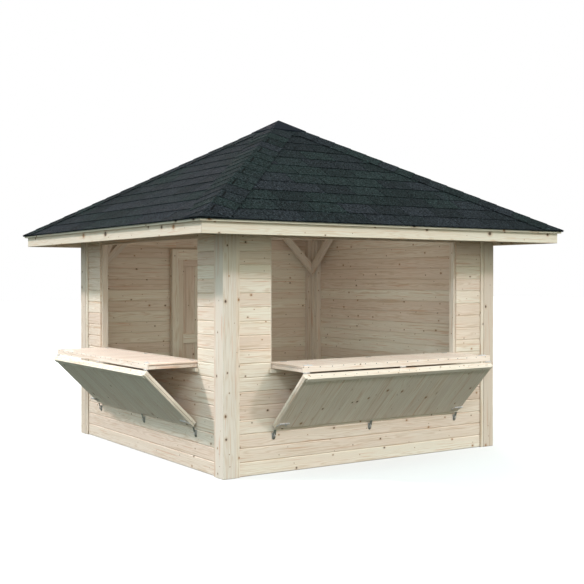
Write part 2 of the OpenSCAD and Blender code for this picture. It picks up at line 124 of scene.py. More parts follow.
class Graph:
    """Adds nodes to a tree and links them."""

    def __init__(self, tree: bpy.types.NodeTree) -> None:
        """Keeps the tree that nodes are added to."""
        self.tree = tree

    def feed(self, node: Node, inputs: dict) -> None:
        """Gives a node its inputs.

        Args:
            node: the node.
            inputs: a value or an output socket for each input, by name or index.
        """
        for key, value in inputs.items():
            if isinstance(value, Socket):
                self.tree.links.new(value, node.inputs[key])
            else:
                node.inputs[key].default_value = value

    def add(self, kind: str, inputs: dict | None = None, **settings: object) -> Node:
        """Adds one node.

        Args:
            kind: the node's type name.
            inputs: a value or an output socket for each input, by name or index.
            settings: the node's own properties.

        Returns:
            The new node.
        """
        node = self.tree.nodes.new(kind)
        for name, value in settings.items():
            setattr(node, name, value)
        self.feed(node, inputs or {})
        return node

    def out(self, kind: str, inputs: dict | None = None, **settings: object) -> Socket:
        """The first output of a new node, made as add makes it."""
        return self.add(kind, inputs, **settings).outputs[0]

    def math(self, operation: str, *values: object) -> Socket:
        """The result of a math node on up to three values."""
        return self.out("ShaderNodeMath", dict(enumerate(values)), operation=operation)

    def vector(self, operation: str, *values: object) -> Socket:
        """The vector result of a vector math node."""
        return self.out("ShaderNodeVectorMath", dict(enumerate(values)), operation=operation)

    def length(self, value: Socket) -> Socket:
        """The length of a vector."""
        return self.add("ShaderNodeVectorMath", {0: value}, operation="LENGTH").outputs["Value"]

    def split(self, value: Socket) -> list[Socket]:
        """The three components of a vector."""
        return list(self.add("ShaderNodeSeparateXYZ", {0: value}).outputs)

    def combine(self, x: object = 0.0, y: object = 0.0, z: object = 0.0) -> Socket:
        """A vector made of three numbers."""
        return self.out("ShaderNodeCombineXYZ", {0: x, 1: y, 2: z})

    def ramp(self, value: Socket, low: float, high: float, top: float = 1.0) -> Socket:
        """Runs smoothly from 0 to top as value goes from low to high."""
        inputs = {"Value": value, "From Min": low, "From Max": high, "To Max": top}
        return self.out("ShaderNodeMapRange", inputs, interpolation_type="SMOOTHSTEP")

    def noise(self, place: Socket, scale: float, detail: float = 2.0, rough: float = 0.5) -> Socket:
        """The value of a noise texture at a place."""
        inputs = {"Vector": place, "Scale": scale, "Detail": detail, "Roughness": rough}
        return self.out("ShaderNodeTexNoise", inputs)

    def figure(self, grain: Socket, squeeze: Point, detail: float, rough: float = 0.5) -> Socket:
        """Noise in a log's own coordinates, squeezed by a factor along each axis."""
        return self.noise(self.vector("MULTIPLY", grain, squeeze), 1.0, detail, rough)

    def mix(self, share: object, first: object, second: object, blend: str = "MIX") -> Socket:
        """Blends two colours.

        Args:
            share: how much of the second colour is used, from 0 to 1.
            first: a colour or a socket.
            second: a colour or a socket.
            blend: the way of blending.

        Returns:
            The blended colour.
        """
        colours = {0: share, 6: first, 7: second}
        inputs = {key: (*c, 1.0) if isinstance(c, tuple) else c for key, c in colours.items()}
        return self.add("ShaderNodeMix", inputs, data_type="RGBA", blend_type=blend).outputs[2]

    def shaded(self, colour: Socket, level: Socket) -> Socket:
        """A colour made brighter or darker."""
        return self.mix(1.0, colour, self.combine(level, level, level), "MULTIPLY")

    def bump(self, height: Socket, strength: float, distance: float) -> Socket:
        """The normal of a surface with fine relief."""
        inputs = {"Strength": strength, "Distance": distance, "Height": height}
        return self.out("ShaderNodeBump", inputs)

    def attribute(self, name: str, output: str = "Fac") -> Socket:
        """Reads an attribute of the mesh in a material."""
        return self.add("ShaderNodeAttribute", attribute_name=name).outputs[output]

    def store(self, geometry: Socket, name: str, value: Socket, kind: str = "FLOAT_VECTOR",
              domain: str = "POINT") -> Socket:
        """Stores a named attribute.

        Args:
            geometry: what is to carry it.
            name: its name.
            value: its value.
            kind: its data type.
            domain: what it is stored on.

        Returns:
            The geometry that carries it.
        """
        inputs = {"Geometry": geometry, "Name": name, "Value": value}
        return self.out("GeometryNodeStoreNamedAttribute", inputs, data_type=kind, domain=domain)

    def named(self, name: str) -> Socket:
        """Reads a named vector attribute."""
        return self.out("GeometryNodeInputNamedAttribute", {"Name": name}, data_type="FLOAT_VECTOR")

    def draw(self, low: object, high: object, seed: Socket, owner: Socket | None = None) -> Socket:
        """A random number or vector for each element, for a fixed seed.

        Args:
            low: the least value, which is a tuple for a vector.
            high: the greatest value.
            seed: fixes the draw.
            owner: elements of the same owner draw the same value.

        Returns:
            The drawn value.
        """
        vector = isinstance(low, tuple)
        least, most, result = (0, 1, 0) if vector else (2, 3, 1)
        inputs = {"Seed": seed, least: low, most: high}
        if owner is not None:
            inputs["ID"] = owner
        kind = "FLOAT_VECTOR" if vector else "FLOAT"
        return self.add("FunctionNodeRandomValue", inputs, data_type=kind).outputs[result]


def new_material(name: str) -> tuple[Material, Graph, Node]:
    """Starts a material.

    Args:
        name: the material's name.

    Returns:
        The material, its graph and its surface shader.
    """
    material = bpy.data.materials.new(name)
    material.use_nodes = True
    return material, Graph(material.node_tree), material.node_tree.nodes["Principled BSDF"]


# ---- Finishes -----------------------------------------------------------------


@dataclass(frozen=True)
class WoodFinish:
    """Planed softwood, from a solid log of growth rings with knots in it."""

    name: str
    early: Colour
    late: Colour
    blush: Colour
    ring: float = 4.2 * MM
    wander: float = 52 * MM
    flutter: float = 2.2 * MM
    knot_share: float = 0.62
    knot_cell: Range = (0.26, 0.085)
    knot_least: float = 2.9 * MM
    knot_growth: float = 6.5 * MM
    knot_push: float = 11 * MM
    contrast: float = 0.14
    roughness: float = 0.62
    relief: float = 0.4 * MM
    knot_core: Colour = (0.055, 0.028, 0.017)
    knot_heart: Colour = (0.31, 0.145, 0.06)
    knot_rim: Colour = (0.47, 0.27, 0.14)
    flush: Colour = (0.62, 0.36, 0.23)

    def material(self) -> Material:
        """The finish as a material that follows each timber's own grain.

        Returns:
            The material.
        """
        material, g, shader = new_material(self.name)
        grain = g.attribute("grain", "Vector")
        tone = g.attribute("tone")
        halo, core, ripe = self._knots(g)
        fibre = g.figure(grain, (5.0, 230.0, 230.0), 3.0, 0.65)
        streak = g.figure(grain, (1.3, 46.0, 30.0), 3.0, 0.6)
        cloud = g.figure(grain, (0.9, 6.0, 6.0), 2.0)
        vein = g.figure(grain, (2.2, 75.0, 20.0), 2.0)
        rings = self._rings(g, grain, halo)

        colour = g.mix(g.ramp(tone, 0.3, 1.0, 5 * self.contrast), self.early, self.blush)
        colour = g.mix(g.ramp(cloud, 0.42, 0.68, 0.4), colour, self.blush)
        colour = g.mix(g.math("MULTIPLY", rings, g.ramp(fibre, 0.25, 0.75, 0.72)), colour, self.late)
        colour = g.mix(g.ramp(streak, 0.55, 0.70, 0.62), colour, self.late)
        colour = g.mix(g.ramp(vein, 0.60, 0.70, 0.6), colour, self.flush)
        bright = g.math("MULTIPLY_ADD", tone, -self.contrast, 1 + self.contrast / 2)
        bright = g.math("MULTIPLY", bright, g.math("MULTIPLY_ADD", fibre, 0.30, 0.86))
        colour = g.shaded(colour, bright)
        colour = g.mix(g.math("MULTIPLY", halo, 0.45), colour, self.knot_rim)
        knot = g.mix(g.ramp(ripe, 0.35, 0.75), self.knot_core, self.knot_heart)

        height = g.math("MULTIPLY_ADD", fibre, 0.7, g.math("MULTIPLY", rings, -0.5))
        height = g.math("MULTIPLY_ADD", core, -0.8, height)
        g.feed(shader, {
            "Base Color": g.mix(core, colour, knot),
            "Roughness": g.math("MULTIPLY_ADD", fibre, 0.16, self.roughness - 0.08),
            "Normal": g.bump(height, 0.35, self.relief),
            "Specular IOR Level": 0.3,
        })
        return material

    def _rings(self, g: Graph, grain: Socket, halo: Socket) -> Socket:
        """The growth rings.

        Args:
            g: the material's graph.
            grain: a point's place in its log.
            halo: the stain round the knots, which push the rings aside.

        Returns:
            How deep in the late wood of its ring a point is, from 0 to 1.
        """
        wander = g.figure(grain, (0.8, 7.0, 7.0), 3.0, 0.55)
        flutter = g.figure(grain, (9.0, 40.0, 40.0), 2.0)
        radius = g.length(g.vector("MULTIPLY", grain, (0.0, 1.0, 1.0)))
        for shift, reach in ((wander, self.wander), (flutter, self.flutter), (halo, self.knot_push)):
            radius = g.math("ADD", radius, g.math("MULTIPLY", shift, reach))
        wave = g.math("SINE", g.math("MULTIPLY", radius, 2 * math.pi / self.ring))
        return g.math("POWER", g.math("MULTIPLY_ADD", wave, 0.5, 0.5), 2.2)

    def _knots(self, g: Graph) -> tuple[Socket, Socket, Socket]:
        """Knots scattered over the faces.

        Args:
            g: the material's graph.

        Returns:
            The stained halo round each knot, its core, and how red the core is, from 0 to 1.
        """
        place = g.attribute("knot", "Vector")
        cell = (*self.knot_cell, 1.0)
        cells = g.vector("DIVIDE", place, cell)
        inputs = {"Vector": cells, "Scale": 1.0, "Randomness": 0.92}
        spots = g.add("ShaderNodeTexVoronoi", inputs, voronoi_dimensions="2D").outputs
        chance, size, shade = g.split(spots["Color"])
        offset = g.vector("MULTIPLY", g.vector("SUBTRACT", cells, spots["Position"]), cell)
        wobble = g.figure(place, (160.0, 160.0, 0.0), 1.0)
        along, across, _ = g.split(offset)
        gap = g.length(g.combine(g.math("MULTIPLY", along, 0.8), across))
        gap = g.math("MULTIPLY", gap, g.math("MULTIPLY_ADD", wobble, 0.7, 0.65))
        radius = g.math("MULTIPLY_ADD", g.math("POWER", size, 3.0), self.knot_growth, self.knot_least)
        reach = g.math("DIVIDE", gap, radius)
        there = g.math("LESS_THAN", chance, self.knot_share)
        halo, core = (
            g.math("MULTIPLY", g.math("SUBTRACT", 1.0, g.ramp(reach, inner, outer)), there)
            for inner, outer in ((0.8, 2.3), (0.6, 1.05))
        )
        return halo, g.math("MULTIPLY", core, 0.9), shade


@dataclass(frozen=True)
class GranuleFinish:
    """Mineral granules on asphalt, tinted tab by tab."""

    name: str
    green: Colour
    purple: Colour
    dark: Colour
    speck: Colour
    speck_share: float = 0.5
    speckle: float = 5.0
    roughness: float = 0.9
    relief: float = 1.2 * MM

    def material(self) -> Material:
        """The finish as a material.

        Returns:
            The material.
        """
        material, g, shader = new_material(self.name)
        place = g.add("ShaderNodeTexCoord").outputs["Object"]
        tint = g.attribute("tint")
        patch = g.noise(place, 3.2)
        blotch = g.noise(place, 62.0, 3.0, 0.8)
        grit = g.add("ShaderNodeTexVoronoi", {"Vector": place, "Scale": 300.0}).outputs
        lit, _, _ = g.split(grit["Color"])
        hue = g.math("MULTIPLY_ADD", patch, 0.9, g.math("MULTIPLY_ADD", tint, 1.1, -0.5))
        colour = g.mix(g.ramp(hue, 0.2, 0.85), self.green, self.purple)
        shade = g.math("FRACT", g.math("MULTIPLY", tint, 7.31))
        colour = g.mix(g.ramp(shade, 0.35, 1.0, 0.62), colour, self.dark)
        colour = g.shaded(colour, g.math("POWER", g.math("MULTIPLY", blotch, 2.0), self.speckle))
        height = g.math("SUBTRACT", g.math("MULTIPLY", lit, 0.6), grit["Distance"])
        g.feed(shader, {
            "Base Color": g.mix(g.ramp(lit, 0.8, 0.97, self.speck_share), colour, self.speck),
            "Roughness": self.roughness,
            "Normal": g.bump(height, 0.6, self.relief),
            "Specular IOR Level": 0.03,
        })
        return material


@dataclass(frozen=True)
class SteelFinish:
    """Galvanised steel with a faint crystal pattern and dull patches."""

    name: str
    bright: Colour
    dull: Colour
    spangle: float = 160.0
    metal: float = 0.85
    relief: float = 0.2 * MM

    def material(self) -> Material:
        """The finish as a material.

        Returns:
            The material.
        """
        material, g, shader = new_material(self.name)
        place = g.add("ShaderNodeTexCoord").outputs["Object"]
        crystal = g.add("ShaderNodeTexVoronoi", {"Vector": place, "Scale": self.spangle}).outputs
        flake, other, _ = g.split(crystal["Color"])
        patch = g.noise(place, 30.0, 4.0, 0.6)
        colour = g.mix(g.ramp(patch, 0.35, 0.7), self.bright, self.dull)
        rough = g.math("MULTIPLY_ADD", patch, 0.2, 0.26)
        g.feed(shader, {
            "Base Color": g.mix(g.math("MULTIPLY", flake, 0.25), colour, self.dull),
            "Roughness": g.math("MULTIPLY_ADD", other, 0.14, rough),
            "Normal": g.bump(patch, 0.15, self.relief),
            "Metallic": self.metal,
        })
        return material


class Finishes:
    """Every material of the stall, made once."""

    def __init__(self) -> None:
        """Builds the materials."""
        self.board = WoodFinish(
            "planed_spruce", (0.795, 0.715, 0.61), (0.56, 0.39, 0.255), (0.78, 0.60, 0.50), knot_share=0.7
        ).material()
        self.timber = WoodFinish(
            "framing_spruce", (0.72, 0.64, 0.565), (0.55, 0.395, 0.265), (0.74, 0.61, 0.51),
            knot_share=0.55, knot_cell=(0.2, 0.1), knot_growth=9 * MM
        ).material()
        self.roof_board = WoodFinish(
            "roof_spruce", (0.755, 0.69, 0.58), (0.63, 0.48, 0.34), (0.74, 0.62, 0.51),
            knot_share=0.7, knot_growth=22 * MM
        ).material()
        self.leaf = WoodFinish(
            "leaf_spruce", (0.80, 0.72, 0.62), (0.60, 0.44, 0.31), (0.78, 0.65, 0.56),
            ring=5.5 * MM, knot_share=0.5, knot_cell=(0.26, 0.1), knot_growth=11 * MM, contrast=0.07
        ).material()
        # The counter's wood is paler than the leaf's: painted light, standing for the stronger light on its
        # upward top.
        self.counter = WoodFinish(
            "counter_spruce", (0.88, 0.75, 0.66), (0.66, 0.46, 0.34), (0.86, 0.67, 0.57),
            ring=5.5 * MM, knot_share=0.4, knot_cell=(0.26, 0.1), contrast=0.06
        ).material()
        self.shingle = GranuleFinish(
            "slate_granules", (0.0083, 0.0138, 0.0136), (0.0108, 0.0132, 0.0162),
            (0.0035, 0.0058, 0.0063), (0.072, 0.084, 0.089)
        ).material()
        self.felt = GranuleFinish(
            "ridge_granules", (0.0095, 0.0130, 0.0175), (0.0115, 0.0140, 0.0195),
            (0.008, 0.010, 0.0135), (0.02, 0.024, 0.03), speck_share=0.2, speckle=1.2, roughness=0.8
        ).material()
        # Near-black finish for bars in the hip caps' cracked slots: painted shadow, placed where the slots
        # are only in shade.
        self.bitumen = GranuleFinish(
            "bitumen", (0.0012, 0.0012, 0.0014), (0.0012, 0.0012, 0.0014), (0.001, 0.001, 0.001),
            (0.002, 0.002, 0.002), speck_share=0.1, speckle=1.0, roughness=0.7
        ).material()
        self.steel = SteelFinish("galvanised_steel", (0.80, 0.80, 0.79), (0.62, 0.62, 0.61)).material()
        # The hasp straps' steel is darkened: a painted reflection of the dark ground below them, not a darker
        # metal.
        self.strap = SteelFinish("hasp_steel", (0.33, 0.34, 0.29), (0.17, 0.175, 0.15), metal=0.5).material()
        self.rusty = SteelFinish("rusty_nail", (0.38, 0.20, 0.11), (0.27, 0.14, 0.08), metal=0.1).material()
        # A duller, darker, less metallic copy of the steel: painted shade that hides the highlight on
        # fittings at the sill and by the wall.
        self.dull = SteelFinish("dull_steel", (0.45, 0.43, 0.39), (0.30, 0.29, 0.26), metal=0.5).material()
        self.nail = SteelFinish("nail_steel", (0.20, 0.19, 0.18), (0.13, 0.12, 0.115)).material()


# ---- Mesh building ------------------------------------------------------------


def box_points(x: Point, u: Point, z: Point) -> list[Vector]:
    """The eight corners of a box given by its ranges."""
    return [Vector((a, b, c)) for c in z for b in u for a in x]


def axes(origin: Point, across: Point, deep: Point, along: Point) -> Matrix:
    """A matrix whose columns are three directions and an origin."""
    columns = (across, deep, along, origin)
    return Matrix([[column[row] for column in columns] for row in range(3)] + [[0, 0, 0, 1]])


def new_object(name: str, data: bpy.types.ID) -> bpy.types.Object:
    """Adds an object to the scene.

    Args:
        name: its name.
        data: its mesh, lamp or camera.

    Returns:
        The new object.
    """
    thing = bpy.data.objects.new(name, data)
    bpy.context.scene.collection.objects.link(thing)
    return thing


def solid_shape(points: Iterable[Vector], faces: Iterable[Sequence[int]], place: Matrix) -> Shape:
    """Makes a closed shape.

    Args:
        points: its corners.
        faces: the corners of each face.
        place: puts the corners in the stall's frame.

    Returns:
        The shape, with its faces pointing outwards.
    """
    shape = bmesh.new()
    corners = [shape.verts.new(place @ point) for point in points]
    for face in faces:
        shape.faces.new([corners[i] for i in face])
    bmesh.ops.recalc_face_normals(shape, faces=shape.faces)
    shape.normal_update()
    return shape


def as_mesh(name: str, shape: Shape) -> Mesh:
    """Turns a shape, which is used up, into a mesh.

    Args:
        name: the mesh's name.
        shape: the shape.

    Returns:
        The mesh.
    """
    mesh = bpy.data.meshes.new(name)
    shape.to_mesh(mesh)
    shape.free()
    return mesh


def closed_sheet(name: str, shape: Shape, top: Sequence[Sequence], bottom: Sequence[Sequence]) -> Mesh:
    """Closes two grids of points, one under the other, into a thin solid.

    Args:
        name: the mesh's name.
        shape: the shape that holds the points, which is used up.
        top: the rows of points on its upper side.
        bottom: the rows of points on its lower side.

    Returns:
        The closed mesh.
    """
    rows, columns = len(top) - 1, len(top[0]) - 1
    for j in range(rows):
        for i in range(columns):
            shape.faces.new((top[j][i], top[j][i + 1], top[j + 1][i + 1], top[j + 1][i]))
            shape.faces.new((bottom[j][i], bottom[j + 1][i], bottom[j + 1][i + 1], bottom[j][i + 1]))
    rim = [(0, i) for i in range(columns)] + [(j, columns) for j in range(rows)]
    rim += [(rows, i) for i in range(columns, 0, -1)] + [(j, 0) for j in range(rows, 0, -1)]
    for (a, b), (c, d) in zip(rim, rim[1:] + rim[:1]):
        shape.faces.new((bottom[a][b], bottom[c][d], top[c][d], top[a][b]))
    bmesh.ops.recalc_face_normals(shape, faces=shape.faces)
    return as_mesh(name, shape)


def ease(shape: Shape, edges: Sequence[bmesh.types.BMEdge], arris: float, segments: int = 1) -> None:
    """Takes edges off a shape by arris, in so many segments."""
    bmesh.ops.bevel(shape, geom=edges, offset=arris, offset_type="OFFSET", segments=segments,
                    profile=0.5, affect="EDGES", clamp_overlap=True)


def tinted(mesh: Mesh, tint: float) -> Mesh:
    """Gives every point of a mesh the same tint.

    Args:
        mesh: the mesh.
        tint: from 0 to 1.

    Returns:
        The same mesh.
    """
    layer = mesh.attributes.new("tint", "FLOAT", "POINT")
    layer.data.foreach_set("value", [tint] * len(mesh.vertices))
    return mesh


def joined(name: str, parts: Sequence[tuple[Mesh, Matrix]], outwards: bool = False) -> Mesh:
    """Joins meshes into one.

    Args:
        name: the new mesh's name.
        parts: each mesh, which is used up, and the matrix that puts it in place.
        outwards: whether the faces are turned to point out of their closed shells.

    Returns:
        The joined mesh.
    """
    whole = bmesh.new()
    for mesh, place in parts:
        mesh.transform(place)
        if place.determinant() < 0:
            mesh.flip_normals()
        whole.from_mesh(mesh)
    if outwards:
        bmesh.ops.recalc_face_normals(whole, faces=whole.faces)
    for mesh, _ in parts:
        bpy.data.meshes.remove(mesh)
    return as_mesh(name, whole)


def islands(shape: Shape) -> list[list[bmesh.types.BMVert]]:
    """Finds the separate solids in a shape.

    Args:
        shape: the shape, with its points numbered.

    Returns:
        The points of each solid.
    """
    left = set(shape.verts)
    found = []
    while left:
        first = min(left, key=lambda vert: vert.index)
        group, edge_on = {first}, [first]
        while edge_on:
            for edge in edge_on.pop().link_edges:
                for vert in edge.verts:
                    if vert not in group:
                        group.add(vert)
                        edge_on.append(vert)
        left -= group
        found.append(sorted(group, key=lambda vert: vert.index))
    return found


def node_solids(node: str) -> list[Shape]:
    """Copies of the separate solids of a CAD node, with flat faces made whole.

    Args:
        node: the node's name.

    Returns:
        One closed shape for each solid.
    """
    whole = bmesh.new()
    whole.from_mesh(frame["nodes"][node].data)
    bmesh.ops.remove_doubles(whole, verts=whole.verts, dist=WELD)
    bmesh.ops.dissolve_limit(whole, angle_limit=math.radians(1), verts=whole.verts, edges=whole.edges)
    whole.verts.index_update()
    solids = []
    for group in islands(whole):
        number = {vert: i for i, vert in enumerate(group)}
        faces = [[number[v] for v in face.verts] for face in whole.faces if face.verts[0] in number]
        solids.append(solid_shape([v.co.copy() for v in group], faces, IN_PLACE))
    whole.free()
    return solids


def wall_box(node: str, side: Side) -> tuple[Vector, Vector]:
    """A node's box in the coordinates of a wall.

    Args:
        node: the node's name.
        side: the wall.

    Returns:
        The lowest and highest corners.
    """
    back = side.matrix().inverted()
    first, second = (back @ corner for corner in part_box(node))
    low = Vector([min(pair) for pair in zip(first, second)])
    high = Vector([max(pair) for pair in zip(first, second)])
    return low, high


def nail_head(radius: float, points: int = 10, rise: float = 0.3) -> Mesh:
    """A low domed nail head on the plane z = 0, with a short shank below.

    Args:
        radius: of the head.
        points: round its edge.
        rise: height of the dome, as a share of the radius.

    Returns:
        The nail head as a closed mesh.
    """
    shape = bmesh.new()
    rings = ((radius, -1.0 * MM), (radius, 0.2 * MM), (radius * 0.6, radius * rise))
    turns = [2 * math.pi * i / points for i in range(points)]
    loops = [
        [shape.verts.new((reach * math.cos(a), reach * math.sin(a), height)) for a in turns]
        for reach, height in rings
    ]
    for lower, upper in zip(loops, loops[1:]):
        for i in range(points):
            j = (i + 1) % points
            shape.faces.new((lower[i], lower[j], upper[j], upper[i]))
    shape.faces.new(loops[-1])
    shape.faces.new(loops[0][::-1])
    return as_mesh("nail_head", shape)


def add_piece(mesh: Mesh, body: str, slot: Slot, material: Material, *nodes: str) -> None:
    """Adds a finished mesh as a piece that rides on a body and bears the mesh's name.

    Args:
        mesh: its mesh, in place.
        body: the body it moves with.
        slot: the record's slot for its finish; not used.
        material: its material.
        nodes: the CAD nodes that it stands for.
    """
    mesh.materials.clear()
    mesh.materials.append(material)
    piece = new_object(mesh.name, mesh)
    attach(piece, body)
    if nodes:
        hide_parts(*nodes)
    LOG.info("%s: %d faces on %s", piece.name, len(mesh.polygons), body)


class Stock:
    """Gathers boards and timbers into one mesh, each point with its place in its own log."""

    def __init__(self, name: str) -> None:
        """Starts an empty mesh, with random draws that depend on its name only."""
        self.name = name
        self.rng = random.Random(name)
        self.points: list[Vector] = []
        self.faces: list[list[int]] = []
        self.values: dict[str, list] = {"grain": [], "knot": [], "tone": []}

    def timber(self, shape: Shape, along: Vector | None = None, arris: float = 2 * MM,
               tone: float | None = None) -> None:
        """Adds one solid timber and rounds off its edges.

        Args:
            shape: the timber's closed shape, which is used up.
            along: the direction of its grain, or None for its longest edge.
            arris: how much each edge is taken off.
            tone: from 0, pale, to 1, dark and pink, or None for a random one.
        """
        if along is None:
            edge = max(shape.edges, key=lambda e: round(e.calc_length(), 5))
            along = edge.verts[1].co - edge.verts[0].co
        along = along.normalized()
        planes = [(face.normal.copy(), face.verts[0].co.copy()) for face in shape.faces]
        middle = sum((v.co for v in shape.verts), Vector()) / len(shape.verts)
        deep = self._thin_direction(shape, along)
        across = deep.cross(along)
        ease(shape, shape.edges[:], arris)
        start = Vector((
            self.rng.uniform(0, LOG_LENGTH),
            self.rng.uniform(-LEAST_OFF, LEAST_OFF),
            self.rng.choice((-1, 1)) * self.rng.uniform(LEAST_OFF, MOST_OFF),
        ))
        drawn = self.rng.random()
        tone = drawn if tone is None else tone
        base = len(self.points)
        for i, vert in enumerate(shape.verts):
            vert.index = i
            own = vert.co - middle
            normal = min(planes, key=lambda plane: abs((vert.co - plane[1]).dot(plane[0])))[0]
            sideways = normal.cross(along)
            if sideways.length < 0.5:
                sideways = across
            shift = FACE_SHIFT * round(normal.dot(across) * 2 + normal.dot(deep) * 5)
            length = own.dot(along)
            self.points.append(vert.co.copy())
            self.values["grain"].append(start + Vector((length, own.dot(across), own.dot(deep))))
            self.values["knot"].append((length + start.x + 3 * shift, own.dot(sideways) + shift, 0.0))
            self.values["tone"].append(tone)
        self.faces += [[base + v.index for v in face.verts] for face in shape.faces]
        shape.free()

    @staticmethod
    def _thin_direction(shape: Shape, along: Vector) -> Vector:
        """Finds the direction square to the grain in which a timber is thinnest.

        Args:
            shape: the timber.
            along: the direction of its grain.

        Returns:
            The direction, of length 1.
        """
        best, best_size = None, math.inf
        for face in shape.faces:
            if abs(face.normal.dot(along)) < 0.02:
                reach = [v.co.dot(face.normal) for v in shape.verts]
                size = round(max(reach) - min(reach), 5)
                if size < best_size:
                    best, best_size = face.normal.copy(), size
        return best if best is not None else along.orthogonal().normalized()

    def box(self, x: Point, u: Point, z: Point, place: Matrix, arris: float = 2 * MM,
            tone: float | None = None) -> None:
        """Adds a timber that is a box in the coordinates that place turns into the frame."""
        self.timber(solid_shape(box_points(x, u, z), BOX_FACES, place), arris=arris, tone=tone)

    def node(self, name: str, arris: float) -> None:
        """Adds every solid of a CAD node as a timber."""
        for shape in node_solids(name):
            self.timber(shape, arris=arris)

    def run(self, mesh: Mesh, place: Matrix) -> None:
        """Adds a grown run of boards.

        Args:
            mesh: the run, with its grain, knot and tone attributes, which is used up.
            place: puts the run in the stall's frame.
        """
        base = len(self.points)
        turned = place.determinant() < 0
        self.points += [place @ v.co for v in mesh.vertices]
        for polygon in mesh.polygons:
            corners = [base + i for i in polygon.vertices]
            self.faces.append(corners[::-1] if turned else corners)
        shift = Vector((self.rng.uniform(0, LOG_LENGTH), 0, 0))
        for name in ("grain", "knot"):
            self.values[name] += [Vector(item.vector) + shift for item in mesh.attributes[name].data]
        self.values["tone"] += [item.value for item in mesh.attributes["tone"].data]
        bpy.data.meshes.remove(mesh)

    def piece(self, body: str, slot: Slot, material: Material, *nodes: str) -> None:
        """Turns what was gathered into a piece that rides on a body.

        Args:
            body: the body it moves with.
            slot: the record's slot for its finish.
            material: its material.
            nodes: the CAD nodes that it stands for.
        """
        mesh = bpy.data.meshes.new(self.name)
        mesh.from_pydata(self.points, [], self.faces)
        for name in ("grain", "knot"):
            layer = mesh.attributes.new(name, "FLOAT_VECTOR", "POINT")
            layer.data.foreach_set("vector", [c for value in self.values[name] for c in value])
        mesh.attributes.new("tone", "FLOAT", "POINT").data.foreach_set("value", self.values["tone"])
        add_piece(mesh, body, slot, material, *nodes)


# ---- Geometry node runs ---------------------------------------------------------


class Run:
    """A geometry node tree with named inputs, which grows a mesh from a base mesh."""

    name: str
    sizes: dict[str, str]

    def __init__(self) -> None:
        """Builds the tree, which ends in the run's material."""
        self.tree = bpy.data.node_groups.new(self.name, "GeometryNodeTree")
        for label, kind in {"Geometry": "Geometry", **self.sizes, "Material": "Material"}.items():
            self.tree.interface.new_socket(label, in_out="INPUT", socket_type=f"NodeSocket{kind}")
        self.tree.interface.new_socket("Geometry", in_out="OUTPUT", socket_type="NodeSocketGeometry")
        g = Graph(self.tree)
        ports = g.add("NodeGroupInput").outputs
        inputs = {"Geometry": self._lay(g, ports), "Material": ports["Material"]}
        g.add("NodeGroupOutput", {0: g.out("GeometryNodeSetMaterial", inputs)})

    def _lay(self, g: Graph, ports: Ports) -> Socket:
        """Builds the nodes between the inputs and the material.

        Args:
            g: the tree's graph.
            ports: the tree's inputs, by name.

        Returns:
            The geometry, with its instances made real.
        """
        raise NotImplementedError

    def grow(self, base: Mesh, values: dict[str, object]) -> Mesh:
        """Runs the tree once on a mesh.

        Args:
            base: the mesh that the tree starts from, which is used up.
            values: the value of each named input.

        Returns:
            The result as a plain mesh.
        """
        holder = new_object(self.name, base)
        modifier = holder.modifiers.new(self.name, "NODES")
        modifier.node_group = self.tree
        for item in self.tree.interface.items_tree:
            if item.item_type == "SOCKET" and item.in_out == "INPUT" and item.name in values:
                modifier[item.identifier] = values[item.name]
        graph = bpy.context.evaluated_depsgraph_get()
        grown = holder.evaluated_get(graph)
        mesh = bpy.data.meshes.new_from_object(grown, preserve_all_data_layers=True, depsgraph=graph)
        holder.modifiers.remove(modifier)
        bpy.data.objects.remove(holder)
        bpy.data.meshes.remove(base)
        return mesh


@dataclass(frozen=True)
class BoardSection:
    """The end outline of a board: x across its face, y from its back to its face."""

    cover: float
    thick: float
    gap: float = 2.6 * MM
    face_arris: float = 5.4 * MM
    back_arris: float = 4.2 * MM
    tongue: float = 7 * MM
    tongue_low: float = 0.36
    tongue_high: float = 0.62
    play: float = 0.4 * MM

    def mesh(self) -> Mesh:
        """The outline as a flat face.

        Returns:
            The face as a mesh.
        """
        x0, x1 = self.gap / 2, self.cover - self.gap / 2
        low, high = self.tongue_low * self.thick, self.tongue_high * self.thick
        groove = x0 + self.tongue + self.play - self.gap
        tip = x1 + self.tongue
        back, face, thick = self.back_arris, self.face_arris, self.thick
        outline = [
            (x0 + back, 0), (x1 - back, 0), (x1, back), (x1, low), (tip, low), (tip, high), (x1, high),
            (x1, thick - face), (x1 - face, thick), (x0 + face, thick), (x0, thick - face),
            (x0, high + self.play), (groove, high + self.play), (groove, low - self.play),
            (x0, low - self.play), (x0, back),
        ]
        mesh = bpy.data.meshes.new("board_section")
        mesh.from_pydata([(x, y, 0) for x, y in outline], [], [range(len(outline))])
        return mesh


